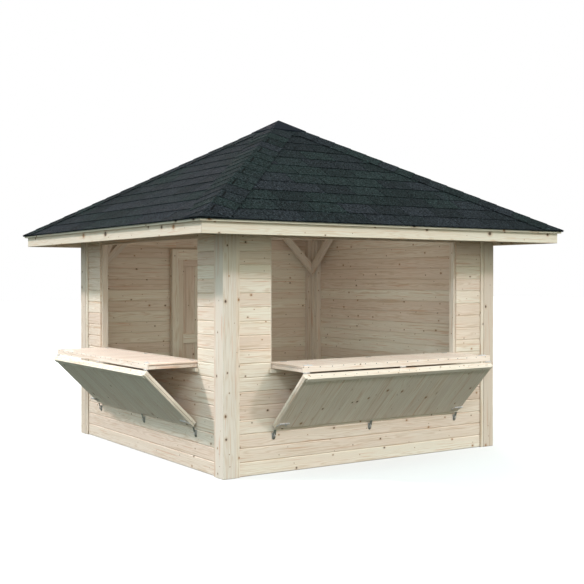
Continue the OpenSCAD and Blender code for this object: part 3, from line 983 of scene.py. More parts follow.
class BoardRun(Run):
    """Boards side by side, grown from one section."""

    name = "board_run"
    sizes = {"Length": "Float", "Count": "Int", "Pitch": "Float", "Seed": "Int"}

    def _lay(self, g: Graph, ports: Ports) -> Socket:
        """Extrudes the section, repeats it, and gives each board its own place in a log.

        Args:
            g: the tree's graph.
            ports: the tree's inputs, by name.

        Returns:
            The boards.
        """
        section, seed = ports["Geometry"], ports["Seed"]
        raised = g.out("GeometryNodeExtrudeMesh", {
            "Mesh": section, "Offset": g.combine(z=ports["Length"]), "Offset Scale": 1.0, "Individual": False,
        })
        board = g.add("GeometryNodeJoinGeometry", {0: raised})
        g.feed(board, {0: g.out("GeometryNodeFlipFaces", {"Mesh": section})})
        board = g.out("GeometryNodeMergeByDistance", {"Geometry": board.outputs[0], "Distance": WELD})
        x, y, z = g.split(g.out("GeometryNodeInputPosition"))
        board = g.store(board, "grain", g.combine(z, x, y))
        board = g.store(board, "knot", g.combine(z, x))
        step = {"Count": ports["Count"], "Offset": g.combine(ports["Pitch"])}
        line = g.out("GeometryNodeMeshLine", step, mode="OFFSET")
        boards = g.out("GeometryNodeInstanceOnPoints", {"Points": line, "Instance": board})
        boards = g.store(boards, "tone", g.draw(0.0, 1.0, seed), "FLOAT", "INSTANCE")
        log = g.draw((0.0, -MOST_OFF, LEAST_OFF), (LOG_LENGTH, -0.02, MOST_OFF), seed)
        boards = g.store(boards, "log", log, domain="INSTANCE")
        real = g.out("GeometryNodeRealizeInstances", {"Geometry": boards})
        for name in ("grain", "knot"):
            real = g.store(real, name, g.vector("ADD", g.named(name), g.named("log")))
        return real

    def mesh(self, section: BoardSection, length: float, count: int, seed: int, material: Material) -> Mesh:
        """Grows a run of boards.

        Args:
            section: the boards' section, which sets their spacing.
            length: length of each board.
            count: number of boards.
            seed: fixes the boards' random places in their logs.
            material: the boards' material.

        Returns:
            The run: x across the boards, y to their face, z along them.
        """
        return self.grow(section.mesh(), {
            "Length": length, "Count": count, "Pitch": section.cover, "Seed": seed, "Material": material,
        })


class RowRun(Run):
    """One shape repeated along a straight line, each with its own tint."""

    name = "row_run"
    sizes = {"Count": "Int", "Step": "Vector", "Spread": "Vector", "Seed": "Int"}

    def _lay(self, g: Graph, ports: Ports) -> Socket:
        """Repeats the shape, lets each copy stray a little, and gives it a tint.

        Args:
            g: the tree's graph.
            ports: the tree's inputs, by name.

        Returns:
            The copies.
        """
        step = {"Count": ports["Count"], "Offset": ports["Step"]}
        line = g.out("GeometryNodeMeshLine", step, mode="OFFSET")
        stray = g.vector("MULTIPLY", g.draw((-1.0,) * 3, (1.0,) * 3, ports["Seed"]), ports["Spread"])
        loose = g.out("GeometryNodeSetPosition", {"Geometry": line, "Offset": stray})
        copies = g.out("GeometryNodeInstanceOnPoints", {"Points": loose, "Instance": ports["Geometry"]})
        copies = g.store(copies, "tint", g.draw(0.0, 1.0, ports["Seed"]), "FLOAT", "INSTANCE")
        return g.out("GeometryNodeRealizeInstances", {"Geometry": copies})

    def mesh(self, base: Mesh, count: int, step: Vector, seed: int, material: Material,
             spread: Point = (0.0, 0.0, 0.0)) -> Mesh:
        """Repeats a shape.

        Args:
            base: the shape, which is used up.
            count: number of copies.
            step: from one copy to the next.
            seed: fixes the random tints and strays.
            material: the copies' material.
            spread: the most that a copy strays along each axis.

        Returns:
            All copies as one mesh.
        """
        return self.grow(base, {
            "Count": count, "Step": tuple(step), "Spread": tuple(spread), "Seed": seed, "Material": material,
        })


class TabRun(Run):
    """Courses of shingle tabs on one slope: x across, y up the slope from the eave, z outwards."""

    name = "tab_run"
    sizes = {
        "Courses": "Int", "Tabs": "Int", "Exposure": "Float", "Width": "Float", "Reach": "Float",
        "Narrowing": "Float", "Seed": "Int",
    }
    drift = 0.13
    drift_turn = 2.4
    strip_tabs = 3.0
    strip_ids = 37.0
    tab_shade = 0.25
    skew = (0.003, 0.002, 0.003)
    sliver = 1e-7
    past_hip = 0.1 * MM

    def _lay(self, g: Graph, ports: Ports) -> Socket:
        """Lays a staggered grid of tabs and trims it to the hips.

        Args:
            g: the tree's graph.
            ports: the tree's inputs, by name.

        Returns:
            The slope's tabs.
        """
        tabs, seed = ports["Tabs"], ports["Seed"]
        index = g.out("GeometryNodeInputIndex")
        course = g.math("FLOOR", g.math("DIVIDE", g.math("ADD", index, 0.5), tabs))
        column = g.math("SUBTRACT", index, g.math("MULTIPLY", course, tabs))
        stagger = g.math("MULTIPLY", g.math("FLOORED_MODULO", course, 2.0), 0.5)
        wave = g.math("SINE", g.math("MULTIPLY", course, self.drift_turn))
        drift = g.math("MULTIPLY", wave, self.drift)
        place = g.math("SUBTRACT", column, g.math("MULTIPLY", tabs, 0.5))
        across = g.math("MULTIPLY", g.math("ADD", place, g.math("ADD", stagger, drift)), ports["Width"])
        up = g.math("MULTIPLY", course, ports["Exposure"])
        total = g.math("MULTIPLY", ports["Courses"], tabs)
        grid = g.out("GeometryNodePoints", {"Count": total, "Position": g.combine(across, up)})

        strip = g.math("FLOOR", g.math("DIVIDE", g.math("ADD", column, course), self.strip_tabs))
        strip_tint = g.draw(0.0, 1.0, seed, g.math("MULTIPLY_ADD", course, self.strip_ids, strip))
        tint = g.math("ADD", strip_tint, g.draw(-self.tab_shade, self.tab_shade, seed))
        grid = g.store(grid, "tint", tint, "FLOAT")
        turn = g.draw(tuple(-angle for angle in self.skew), self.skew, seed)
        inputs = {"Points": grid, "Instance": ports["Geometry"], "Rotation": turn}
        tiles = g.out("GeometryNodeInstanceOnPoints", inputs)
        return self._trimmed(g, g.out("GeometryNodeRealizeInstances", {"Geometry": tiles}), ports)

    def _trimmed(self, g: Graph, tiles: Socket, ports: Ports) -> Socket:
        """Pulls what passes the hips back to them, and deletes faces that are left flat.

        Args:
            g: the tree's graph.
            tiles: the tabs.
            ports: the tree's inputs.

        Returns:
            The trimmed tabs.
        """
        def hip(height: Socket) -> Socket:
            """Half the slope's width at a height."""
            return g.math("SUBTRACT", ports["Reach"], g.math("MULTIPLY", height, ports["Narrowing"]))

        x, y, z = g.split(g.out("GeometryNodeInputPosition"))
        edge = g.math("MAXIMUM", hip(y), 0.0)
        held = g.math("MAXIMUM", g.math("MINIMUM", x, edge), g.math("MULTIPLY", edge, -1.0))
        place = {"Geometry": tiles, "Position": g.combine(held, y, z)}
        trimmed = g.out("GeometryNodeSetPosition", place)
        area = g.out("GeometryNodeInputMeshFaceArea")
        compare = "FunctionNodeCompare"
        flat = g.out(compare, {0: area, 1: self.sliver}, data_type="FLOAT", operation="LESS_THAN")
        x, y, _ = g.split(g.out("GeometryNodeInputPosition"))
        limits = {0: g.math("ABSOLUTE", x), 1: g.math("SUBTRACT", hip(y), self.past_hip)}
        past = g.out(compare, limits, data_type="FLOAT", operation="GREATER_THAN")
        gone = g.out("FunctionNodeBooleanMath", {0: flat, 1: past}, operation="OR")
        return g.out("GeometryNodeDeleteGeometry", {"Geometry": trimmed, "Selection": gone}, domain="FACE")


@dataclass
class Workshop:
    """The trees and finishes that every sub-assembly uses."""

    finish: Finishes = field(default_factory=Finishes)
    boards: BoardRun = field(default_factory=BoardRun)
    rows: RowRun = field(default_factory=RowRun)
    tabs: TabRun = field(default_factory=TabRun)


# ---- Sub-assemblies --------------------------------------------------------------


@dataclass
class Framework:
    """Posts, plates, rails, studs, braces and the other square timbers."""

    shop: Workshop
    post_arris: float = 4 * MM
    timber_arris: float = 2.5 * MM
    trim_arris: float = 2 * MM
    nail_radius: float = 5 * MM
    nail_sink: float = 0.3 * MM
    nail_heights: Range = (0.10, 0.20)
    nail_stray: float = 6 * MM

    def build(self) -> None:
        """Dresses the CAD timbers and adds the nails at the feet of the posts."""
        finish = self.shop.finish
        posts = ("front_left_post", "front_right_post", "back_right_post", "back_left_post")
        timbers = ("wall_plates", "ground_rails", "wall_studs", "opening_rails", "knee_braces",
                   "hip_rafters", "rafters", "apex_block")
        trims = ("cover_strips", "counter_ledgers", "door_jambs", "door_head")
        for nodes, slot, material, arris in (
            (posts, Slot.BOARD, finish.timber, self.post_arris),
            (timbers, Slot.TIMBER, finish.timber, self.timber_arris),
            (trims, Slot.BOARD, finish.board, self.trim_arris),
            (("fascia_boards",), Slot.ROOF_BOARD, finish.roof_board, self.timber_arris),
        ):
            for node in nodes:
                stock = Stock(f"{node}_timber")
                stock.node(node, arris)
                stock.piece("stall", slot, material, node)
        self._nails()

    def _nails(self) -> None:
        """Two nails low on each outer face of every post."""
        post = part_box("front_right_post")
        face, middle = post[1].x, (post[1].x + post[0].x) / 2
        low, high = self.nail_heights
        material = self.shop.finish.rusty
        parts = []
        for side in Side:
            for sign in (-1, 1):
                head = nail_head(self.nail_radius)
                head.transform(axes((sign * middle, face - self.nail_sink, low), *OUTWARD))
                row = self.shop.rows.mesh(
                    head, 2, Vector((0, 0, high - low)), 3 + side.value, material, (self.nail_stray, 0, 0)
                )
                parts.append((row, side.matrix()))
        add_piece(joined("post_nails", parts, outwards=True), "stall", Slot.STEEL, material)


@dataclass
class Walls:
    """Tongue and groove boards on all four sides."""

    shop: Workshop
    course: float = 0.115
    ripped_tongue: float = 3 * MM
    panels: tuple[tuple[str, Side], ...] = (
        ("front_wall_left", Side.FRONT), ("front_wall_right", Side.FRONT),
        ("left_wall_back", Side.LEFT), ("left_wall_front", Side.LEFT), ("right_wall", Side.RIGHT),
        ("back_wall_left", Side.BACK), ("back_wall_right", Side.BACK),
    )

    def build(self) -> None:
        """Boards every wall, course by course."""
        self._low_wall("front_wall_low", Side.FRONT, "front_wall_right")
        self._low_wall("left_wall_low", Side.LEFT, "left_wall_front")
        for node, side in self.panels:
            stock = self._stock(node)
            low, high = wall_box(node, side)
            self._whole(stock, side, low, high, stock.rng.randrange(1000))
            self._piece(stock, node)
        self._over_door()

    @staticmethod
    def _stock(node: str) -> Stock:
        """The stock for a wall's boards."""
        return Stock(f"{node}_boards")

    def _piece(self, stock: Stock, node: str) -> None:
        """Turns a wall's stock into its piece."""
        stock.piece("stall", Slot.BOARD, self.shop.finish.board, node)

    def _lay(self, stock: Stock, side: Side, section: BoardSection, corner: Point, length: float,
             count: int, seed: int) -> None:
        """Lays level boards on a wall.

        Args:
            stock: takes the boards.
            side: the wall.
            section: the boards' section.
            corner: the lowest corner, in wall coordinates.
            length: length of each board.
            count: number of courses.
            seed: fixes the boards' random places in their logs.
        """
        run = self.shop.boards.mesh(section, length, count, seed, self.shop.finish.board)
        stock.run(run, side.matrix() @ axes(corner, *LEVEL))

    def _whole(self, stock: Stock, side: Side, low: Vector, high: Vector, seed: int) -> None:
        """Fills a box in wall coordinates with whole courses.

        Args:
            stock: takes the boards.
            side: the wall.
            low: the box's lowest corner.
            high: the box's highest corner.
            seed: fixes the boards' random places in their logs.
        """
        count = round((high.z - low.z) / self.course)
        section = BoardSection(self.course, high.y - low.y)
        self._lay(stock, side, section, tuple(low), high.x - low.x, count, seed)

    def _low_wall(self, node: str, side: Side, beside: str) -> None:
        """The boards below an opening, with the last one ripped to clear the counter.

        Args:
            node: the wall's node.
            side: the side it is on.
            beside: the node of the wall beside the opening.
        """
        stock = self._stock(node)
        low, high = wall_box(node, side)
        courses = math.floor((high.z - low.z) / self.course)
        lap = low.z + courses * self.course
        self._whole(stock, side, low, Vector((high.x, high.y, lap)), stock.rng.randrange(1000))
        half = wall_box(beside, side)[0].x
        ripped = BoardSection(high.z - lap, high.y - low.y, tongue=self.ripped_tongue)
        self._lay(stock, side, ripped, (-half, low.y, lap), 2 * half, count=1, seed=5)
        self._piece(stock, node)

    def _over_door(self) -> None:
        """The whole courses over the doorway, level with those of the walls beside it."""
        node = "back_wall_over_door"
        stock = self._stock(node)
        low, high = wall_box(node, Side.BACK)
        lap = math.ceil(low.z / self.course) * self.course
        self._whole(stock, Side.BACK, Vector((low.x, low.y, lap)), high, seed=21)
        self._piece(stock, node)


@dataclass
class Hatch:
    """A serving hatch: the counter leaf and the leaf that props it."""

    shop: Workshop
    side: Side
    board_count: int = 18
    board_thick: float = 17 * MM
    board_gap: float = 0.5 * MM
    board_arris: float = 0.9 * MM
    board_tongue: float = 6 * MM
    rail: float = 70 * MM
    edging: float = 9 * MM
    edging_arris: float = 1.5 * MM
    joint_gap: float = 3.5 * MM
    slope: float = math.radians(45)
    gap: float = 5 * MM
    leaf_length: float = 0.642
    leaf_thick: float = 45 * MM
    lip: Range = (40 * MM, 10 * MM)
    lip_inset: float = 20 * MM
    nail_radius: float = 4.2 * MM
    nail_sink: float = 0.2 * MM
    nail_stray: Point = (6 * MM, 0, 2 * MM)

    def build(self) -> None:
        """Builds both leaves and their nails."""
        self._counter()
        self._prop_leaf()

    def _boarded(self, stock: Stock, finish: Material, seed: int, place: Matrix, x: Range, u: Range,
                 z: Range) -> None:
        """Close boards on battens, which run round the leaf and across its middle.

        Args:
            stock: takes the timbers.
            finish: the boards' material.
            seed: fixes the boards' random places in their logs.
            place: puts the leaf in the stall's frame.
            x: the leaf's reach along its hinge.
            u: its reach along the boards.
            z: its reach from the battens' back to the boards' face.
        """
        face = z[1] - self.board_thick
        section = BoardSection(
            (x[1] - x[0]) / self.board_count, self.board_thick, gap=self.board_gap,
            face_arris=self.board_arris, back_arris=self.board_arris, tongue=self.board_tongue,
        )
        seed += self.side.value
        run = self.shop.boards.mesh(section, u[1] - u[0], self.board_count, seed, finish)
        stock.run(run, place @ axes((x[0], u[0], face), *OUTWARD))
        depth = (z[0], face - self.joint_gap)
        rail, middle = self.rail, (x[0] + x[1]) / 2
        for span in ((u[0], u[0] + rail), (u[1] - rail, u[1])):
            stock.box(x, span, depth, place)
        for span in ((x[0], x[0] + rail), (x[1] - rail, x[1]), (middle - rail / 2, middle + rail / 2)):
            stock.box(span, (u[0] + rail, u[1] - rail), depth, place)

    def _nails(self, node: str, body: str, x: Range, u: float, z: float, place: Matrix, sign: int) -> None:
        """Nails a leaf's edging, with one nail for each board.

        Args:
            node: the leaf's node.
            body: the leaf's body.
            x: the leaf's reach along its hinge.
            u: where the edging's outer face is.
            z: the nails' height on it.
            place: puts the leaf in the stall's frame.
            sign: 1 where the edging faces up the u axis, and -1 where it faces down it.
        """
        pitch = (x[1] - x[0]) / self.board_count
        facing = Matrix.Diagonal((1, sign, 1, 1))
        head = nail_head(self.nail_radius)
        corner = (x[0] + pitch / 2, sign * u - self.nail_sink, z)
        head.transform(facing @ axes(corner, *OUTWARD))
        finish, step = self.shop.finish.nail, Vector((pitch, 0, 0))
        row = self.shop.rows.mesh(head, self.board_count, step, 7, finish, self.nail_stray)
        add_piece(joined(f"{node}_nails", [(row, place)], outwards=True), body, Slot.STEEL, finish)

    def _counter(self) -> None:
        """The counter: boards running outwards, with an edging nailed over their ends."""
        node = f"{self.side.label}_counter"
        stock = Stock(f"{node}_boards")
        low, high = wall_box(node, self.side)
        place, finish = self.side.matrix(), self.shop.finish.counter
        x, z, joint = (low.x, high.x), (low.z, high.z), high.y - self.edging
        self._boarded(stock, finish, 31, place, x, (low.y, joint), z)
        stock.box(x, (joint, high.y), z, place, self.edging_arris, tone=0.2)
        stock.piece(node, Slot.BOARD, finish, node)
        self._nails(node, node, x, high.y, high.z - 0.5 * self.board_thick, place, 1)

    def _leaf_place(self) -> Matrix:
        """Turns leaf coordinates (x along, s down the slope, t to the boarded face) into the frame.

        Returns:
            The matrix that turns them.
        """
        joint = next(j for j in frame["joints"] if j["name"] == f"{self.side.label}_prop_hinge")
        pivot = self.side.matrix().inverted() @ Vector(joint["pos_m"])
        down = (0, -math.cos(self.slope), -math.sin(self.slope))
        face = (0, math.sin(self.slope), -math.cos(self.slope))
        return self.side.matrix() @ axes((0, pivot.y, pivot.z), (1, 0, 0), down, face)

    def _prop_leaf(self) -> None:
        """The prop leaf: boards running up the slope, and a lip along its top."""
        node = f"{self.side.label}_prop_leaf"
        body = f"{self.side.label}_prop"
        stock = Stock(f"{node}_boards")
        low, high = wall_box(node, self.side)
        place, finish = self._leaf_place(), self.shop.finish.leaf
        x, start, back = (low.x, high.x), self.gap, self.gap
        face, joint = back + self.leaf_thick, start + self.edging
        self._boarded(stock, finish, 57, place, x, (joint, start + self.leaf_length), (back, face))
        # The edging along the prop leaf's top takes the darkest tone: painted shade that keeps its sunlit
        # face from white.
        stock.box(x, (start, joint), (back, face), place, self.edging_arris, tone=1.0)
        width, thick = self.lip
        lip = (low.x + self.lip_inset, high.x - self.lip_inset)
        stock.box(lip, (start, start + width), (face, face + thick), place, self.edging_arris)
        stock.piece(body, Slot.BOARD, finish, node)
        self._nails(node, body, x, start, back + 0.62 * self.leaf_thick, place, -1)


@dataclass
class Door:
    """The entry door's leaf: upright boards on a frame of stiles and rails."""

    shop: Workshop
    board_count: int = 7
    board_thick: float = 18 * MM
    stile: float = 70 * MM
    rails: tuple[Range, ...] = ((0.0, 0.12), (0.888, 0.988), (1.741, 1.821))

    def build(self) -> None:
        """Builds the leaf."""
        stock = Stock("door_leaf_boards")
        low, high = wall_box("door_leaf", Side.BACK)
        place, finish = Side.BACK.matrix(), self.shop.finish.board
        face = high.y - self.board_thick
        section = BoardSection((high.x - low.x) / self.board_count, self.board_thick)
        run = self.shop.boards.mesh(section, high.z - low.z, self.board_count, seed=77, material=finish)
        stock.run(run, place @ axes((low.x, face, low.z), *UPRIGHT))
        depth, inner = (low.y, face), (low.x + self.stile, high.x - self.stile)
        for span in ((low.x, inner[0]), (inner[1], high.x)):
            stock.box(span, depth, (low.z, high.z), place)
        for bottom, top in self.rails:
            stock.box(inner, depth, (low.z + bottom, low.z + top), place)
        stock.piece("door", Slot.BOARD, finish, "door_leaf")


@dataclass
class Roof:
    """Roof boards, shingles, hip caps and the apex cap."""

    shop: Workshop
    board_pitch: float = 0.104
    board_gap: float = 1 * MM
    board_arris: float = 2 * MM
    least_board: float = 0.03
    deck_rise: float = 5 * MM
    exposure: float = 0.19
    tab_width: float = 0.333
    tab_gap: float = 9 * MM
    tab_thick: float = 4.6 * MM
    tab_room: float = 0.4 * MM
    tab_lap: float = 0.03
    tab_grid: tuple[int, int] = (8, 4)
    ragged: float = 0.8 * MM
    eave_margin: float = 3 * MM
    courses: int = 12
    tabs: int = 14
    bed_depth: float = 6.2 * MM
    bed_margin: float = 1.5 * MM
    cap_exposure: float = 0.17
    cap_half: float = 0.2
    cap_thick: float = 2.6 * MM
    cap_profile: tuple[Range, ...] = (
        (0.0, 6.8 * MM), (0.012, 6.5 * MM), (0.02, 6.3 * MM), (0.085, 4.9 * MM), (0.145, 3.5 * MM),
        (0.152, 3.4 * MM), (0.17, 3.0 * MM), (0.21, 2.2 * MM),
    )
    crack: tuple[Range, ...] = ((0.12, 1 * MM), (0.15, 5 * MM), (0.18, 0.0))
    crack_reach: Range = (0.015, 0.15)
    # The near-black bars of painted shadow in the cracked slots: their reach across the wing, their ends
    # along the hip and their depths.
    seam: Range = (34 * MM, 45 * MM)
    seam_ends: tuple[Range, ...] = ((0.02, 6.3 * MM), (0.145, 3.5 * MM))
    seam_levels: Range = (-3 * MM, 1.2 * MM)
    apex_sink: float = 5 * MM
    apex_arris: float = 3 * MM

    def __post_init__(self) -> None:
        """Finds the slope and the layers from the front shingles and the roof boards."""
        high = wall_box("front_shingles", Side.FRONT)[1]
        self.reach, self.top = high.y, high.z
        self.eave = max(self._front_edge("front_shingles", self.reach))
        self.fall = (self.top - self.eave) / self.reach
        self.pitch = math.atan(self.fall)
        self.deck_reach = max(-v.co.y for v in frame["nodes"]["roof_boards"].data.vertices)
        edge = self._front_edge("roof_boards", self.deck_reach)
        self.deck_top = self._plane(self.deck_reach) - max(edge) - self.deck_rise
        self.deck_low = self._plane(self.deck_reach) - min(edge)
        self.corner = Vector((self.reach, self.reach, self.eave))
        self.down_hip = Vector((1, 1, -self.fall)).normalized()

    @staticmethod
    def _front_edge(node: str, reach: float) -> list[float]:
        """The heights of a node's points along its front edge."""
        return [v.co.z for v in frame["nodes"][node].data.vertices if -v.co.y > reach - 1 * MM]

    def _plane(self, u: float) -> float:
        """Height of the shingles' top plane at a distance from the centre."""
        return self.top - u * self.fall

    def build(self) -> None:
        """Builds every layer of the roof."""
        self._roof_boards()
        for side in Side:
            self._shingles(side)
        self._hip_caps()
        self._apex_cap()

    def _roof_boards(self) -> None:
        """Boards along the eaves, mitred at the hips."""
        stock = Stock("roof_boards_laid")
        step = self.board_pitch * math.cos(self.pitch)
        joint = 0.3 * self.board_gap
        for side in Side:
            place = side.matrix()
            outer = self.deck_reach
            while outer > self.least_board:
                inner = max(outer - step, 0.0)
                points = []
                for u in (inner + joint, outer - joint):
                    half = max(u - self.board_gap, self.board_gap / 2)
                    for depth in (self.deck_low, self.deck_top):
                        points += [Vector((x, u, self._plane(u) - depth)) for x in (-half, half)]
                shape = solid_shape(points, BOX_FACES, place)
                stock.timber(shape, place.to_3x3() @ Vector((1, 0, 0)), self.board_arris)
                outer = inner
        stock.piece("stall", Slot.ROOF_BOARD, self.shop.finish.roof_board, "roof_boards")

    def _tab(self) -> Mesh:
        """One tab, thick at its lower edge and sunk under the next course at its upper one.

        Returns:
            The tab as a closed mesh.
        """
        shape = bmesh.new()
        columns, rows = self.tab_grid
        length = self.exposure + self.tab_lap
        sink = (self.tab_thick + self.tab_room) / self.exposure
        grids = []
        for level in (0.0, -self.tab_thick):
            grid = []
            for j in range(rows + 1):
                y = length * j / rows
                row = []
                for i in range(columns + 1):
                    x = self.tab_gap / 2 + (self.tab_width - self.tab_gap) * i / columns
                    edge = self.ragged * math.sin(2.9 * i) if j == 0 else 0.0
                    row.append(shape.verts.new((x, y + edge + self.eave_margin, level - sink * y)))
                grid.append(row)
            grids.append(grid)
        return closed_sheet("tab", shape, *grids)

    def _shingles(self, side: Side) -> None:
        """The shingles of one slope: tabs on a bed that closes the slots between them.

        Args:
            side: the slope's side.
        """
        node = f"{side.label}_shingles"
        narrowing, rise = math.cos(self.pitch), math.sin(self.pitch)
        tabs = self.shop.tabs.grow(self._tab(), {
            "Courses": self.courses, "Tabs": self.tabs, "Exposure": self.exposure, "Width": self.tab_width,
            "Reach": self.reach, "Narrowing": narrowing, "Seed": 11 + side.value,
            "Material": self.shop.finish.shingle,
        })
        up, out = (0, -narrowing, rise), (0, rise, narrowing)
        place = side.matrix() @ axes((0, self.reach, self.eave), (1, 0, 0), up, out)
        mesh = joined(f"{node}_tabs", [(tabs, place), (self._bed(side), IN_PLACE)])
        add_piece(mesh, "stall", Slot.SHINGLE, self.shop.finish.shingle, node)

    def _bed(self, side: Side) -> Mesh:
        """The felt under the tabs of one slope.

        Args:
            side: the slope's side.

        Returns:
            The felt as a closed mesh.
        """
        depths = (self.bed_depth / math.cos(self.pitch), self.deck_top)
        edge = self.reach - self.bed_margin
        corners = ((0, 0), (-edge, edge), (edge, edge))
        points = [Vector((x, u, self._plane(u) - depth)) for x, u in corners for depth in depths]
        faces = ((0, 2, 4), (1, 3, 5), (0, 1, 3, 2), (2, 3, 5, 4), (4, 5, 1, 0))
        return tinted(as_mesh("bed", solid_shape(points, faces, side.matrix())), 0.95)

    def _hip_caps(self) -> None:
        """Folded caps up each hip, trimmed level with the eaves."""
        finish, down = self.shop.finish.shingle, self.down_hip
        length = (self.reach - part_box("apex_cap")[1].x) * math.sqrt(2 + self.fall ** 2)
        pairs = (math.ceil(length / self.cap_exposure) + 1) // 2
        parts = []
        for side in Side:
            for first, creased in ((0, False), (1, True)):
                cap = self._cap(creased)
                cap.transform(Matrix.Translation(-down * self.cap_exposure * first))
                step, seed = -down * self.cap_exposure * 2, 41 + 2 * side.value + first
                parts.append((self.shop.rows.mesh(cap, pairs, step, seed, finish), side.matrix()))
        mesh = joined("hip_caps_folded", parts)
        for vert in mesh.vertices:
            for axis in (0, 1):
                over = abs(vert.co[axis]) - self.reach
                if over > 0:
                    vert.co[axis] = math.copysign(self.reach, vert.co[axis])
                    vert.co.z += over * self.fall
        add_piece(mesh, "stall", Slot.FELT, finish, "hip_caps")
        self._seams(pairs - 1)

    def _seams(self, count: int) -> None:
        """Near-black bars beside the folds of every second cap: painted shadow in their cracked slots.

        Args:
            count: how many seams each hip has.
        """
        finish, down = self.shop.finish.bitumen, self.down_hip
        normal = Vector((self.fall, 0, 1)).normalized()
        wing = self._wing(normal, Vector((1, -1, 0)))
        points = []
        for level in self.seam_levels:
            for back, rise in self.seam_ends:
                end = self.corner - down * (self.cap_exposure + back) + normal * (rise + level)
                points += [end + wing * reach for reach in self.seam]
        parts = []
        for side in Side:
            bar = as_mesh("seam", solid_shape(points, BOX_FACES, IN_PLACE))
            step = -down * self.cap_exposure * 2
            parts.append((self.shop.rows.mesh(bar, count, step, seed=5, material=finish), side.matrix()))
        add_piece(joined("hip_seams", parts, outwards=True), "stall", Slot.FELT, finish)

    def _wing(self, normal: Vector, away: Vector) -> Vector:
        """Finds the direction in a slope's plane that leads square away from the hip.

        Args:
            normal: the slope's outward direction.
            away: roughly the way that is wanted.

        Returns:
            The direction, of length 1.
        """
        wing = away - away.dot(normal) * normal
        wing -= wing.dot(self.down_hip) * self.down_hip
        return wing.normalized()

    def _cap(self, creased: bool) -> Mesh:
        """The lowest folded cap on the hip between +x and +u, in wall coordinates.

        Args:
            creased: whether its fold has cracked open on one wing.

        Returns:
            The cap as a closed mesh.
        """
        shape = bmesh.new()
        left = Vector((0, self.fall, 1)).normalized()
        right = Vector((self.fall, 0, 1)).normalized()
        lips = dict(self.crack) if creased else {}
        wings = (
            (self._wing(left, Vector((-1, 1, 0))), left, (1.0, 0.55, 0.08), {}),
            (Vector(), (left + right).normalized(), (0.0,), {}),
            (self._wing(right, Vector((1, -1, 0))), right, (0.08, *lips, 0.55, 1.0), lips),
        )
        near, far = self.crack_reach
        grids = []
        for depth in (0.0, self.cap_thick):
            grid = []
            for back, rise in self.cap_profile:
                base = self.corner - self.down_hip * back
                row = []
                for wing, normal, spans, edges in wings:
                    for span in spans:
                        lip = edges.get(span, 0.0) if near < back < far else 0.0
                        point = base + normal * (rise + lip - depth) + wing * self.cap_half * span
                        row.append(shape.verts.new(point))
                grid.append(row)
            grids.append(grid)
        return closed_sheet("cap", shape, *grids)

    def _apex_cap(self) -> None:
        """The smooth cap on the apex, with folded edges."""
        shape = node_solids("apex_cap")[0]
        rim = max(abs(vert.co.x) for vert in shape.verts)
        for vert in shape.verts:
            vert.co.z -= self.apex_sink * max(abs(vert.co.x), abs(vert.co.y)) / rim
        ease(shape, shape.edges[:], self.apex_arris, 2)
        mesh = tinted(as_mesh("apex_cap_folded", shape), 0.5)
        add_piece(mesh, "stall", Slot.FELT, self.shop.finish.felt, "apex_cap")


@dataclass
class Hardware:
    """Hinges, hasps, bolts and handles."""

    shop: Workshop
    fittings: tuple[tuple[str, str], ...] = (
        ("hasps", "stall"), ("sill_hinges", "stall"), ("door_frame_hinges", "stall"),
        ("door_fittings", "door"),
        ("front_counter_fittings", "front_counter"), ("front_prop_fittings", "front_prop"),
        ("left_counter_fittings", "left_counter"), ("left_prop_fittings", "left_prop"),
    )
    arris: float = 0.5 * MM
    sharp: float = 0.6
    strap_length: float = 70 * MM
    handle_length: float = 80 * MM
    grip_growth: float = 3 * MM
    wall_reach: float = 1.6

    def build(self) -> None:
        """Builds each group of fittings, finish by finish."""
        for node, body in self.fittings:
            groups: dict[str, list[Shape]] = {}
            for shape in node_solids(node):
                groups.setdefault(self._finish_of(node, shape), []).append(shape)
            for i, (finish, shapes) in enumerate(sorted(groups.items())):
                nodes = (node,) if i == 0 else ()
                parts = [(self._eased(node, shape), IN_PLACE) for shape in shapes]
                material = getattr(self.shop.finish, finish)
                add_piece(joined(f"{node}_{finish}", parts), body, Slot.STEEL, material, *nodes)

    @staticmethod
    def _size(shape: Shape) -> Vector:
        """The size of a shape's box."""
        spans = [[vert.co[axis] for vert in shape.verts] for axis in range(3)]
        return Vector([max(span) - min(span) for span in spans])

    def _finish_of(self, node: str, shape: Shape) -> str:
        """Picks a fitting's finish: hasp straps in darkened steel as a painted reflection, sill hinges and
        counter fittings by the wall in a duller, darker steel as painted shade, bright for the rest.

        Args:
            node: the fitting's node.
            shape: its shape.

        Returns:
            The finish's name in the workshop.
        """
        if node == "hasps" and self._size(shape).z > self.strap_length:
            # Hasp straps take the darkened steel, a painted reflection.
            return "strap"
        reach = max(max(abs(vert.co.x), abs(vert.co.y)) for vert in shape.verts)
        # Fittings at the sill and by the wall take the darker copy of the steel, as painted shade.
        if node == "sill_hinges" or (node.endswith("counter_fittings") and reach < self.wall_reach):
            return "dull"
        return "steel"

    def _eased(self, node: str, shape: Shape) -> Mesh:
        """Eases a fitting's sharp edges, and fills out the grips of the bow handles.

        Args:
            node: the fitting's node.
            shape: its closed shape, which is used up.

        Returns:
            The fitting as a mesh.
        """
        if node.endswith("prop_fittings") and max(self._size(shape)) > self.handle_length:
            for vert in shape.verts:
                vert.co += vert.normal * self.grip_growth
        ease(shape, [edge for edge in shape.edges if edge.calc_face_angle(0) > self.sharp], self.arris)
        return as_mesh("fitting", shape)


# ---- Studio ----------------------------------------------------------------------


@dataclass(frozen=True)
class Sun:
    """A soft lamp far away: the way its light travels, and how many degrees wide it looks."""

    name: str
    travel: Point
    strength: float
    colour: Colour
    width: float = 4.5

    def light(self) -> None:
        """Adds the lamp to the scene."""
        data = bpy.data.lights.new(self.name, "SUN")
        data.energy = self.strength
        data.color = self.colour
        data.angle = math.radians(self.width)
        lamp = new_object(self.name, data)
        lamp.rotation_euler = Vector(self.travel).to_track_quat("-Z", "Y").to_euler()


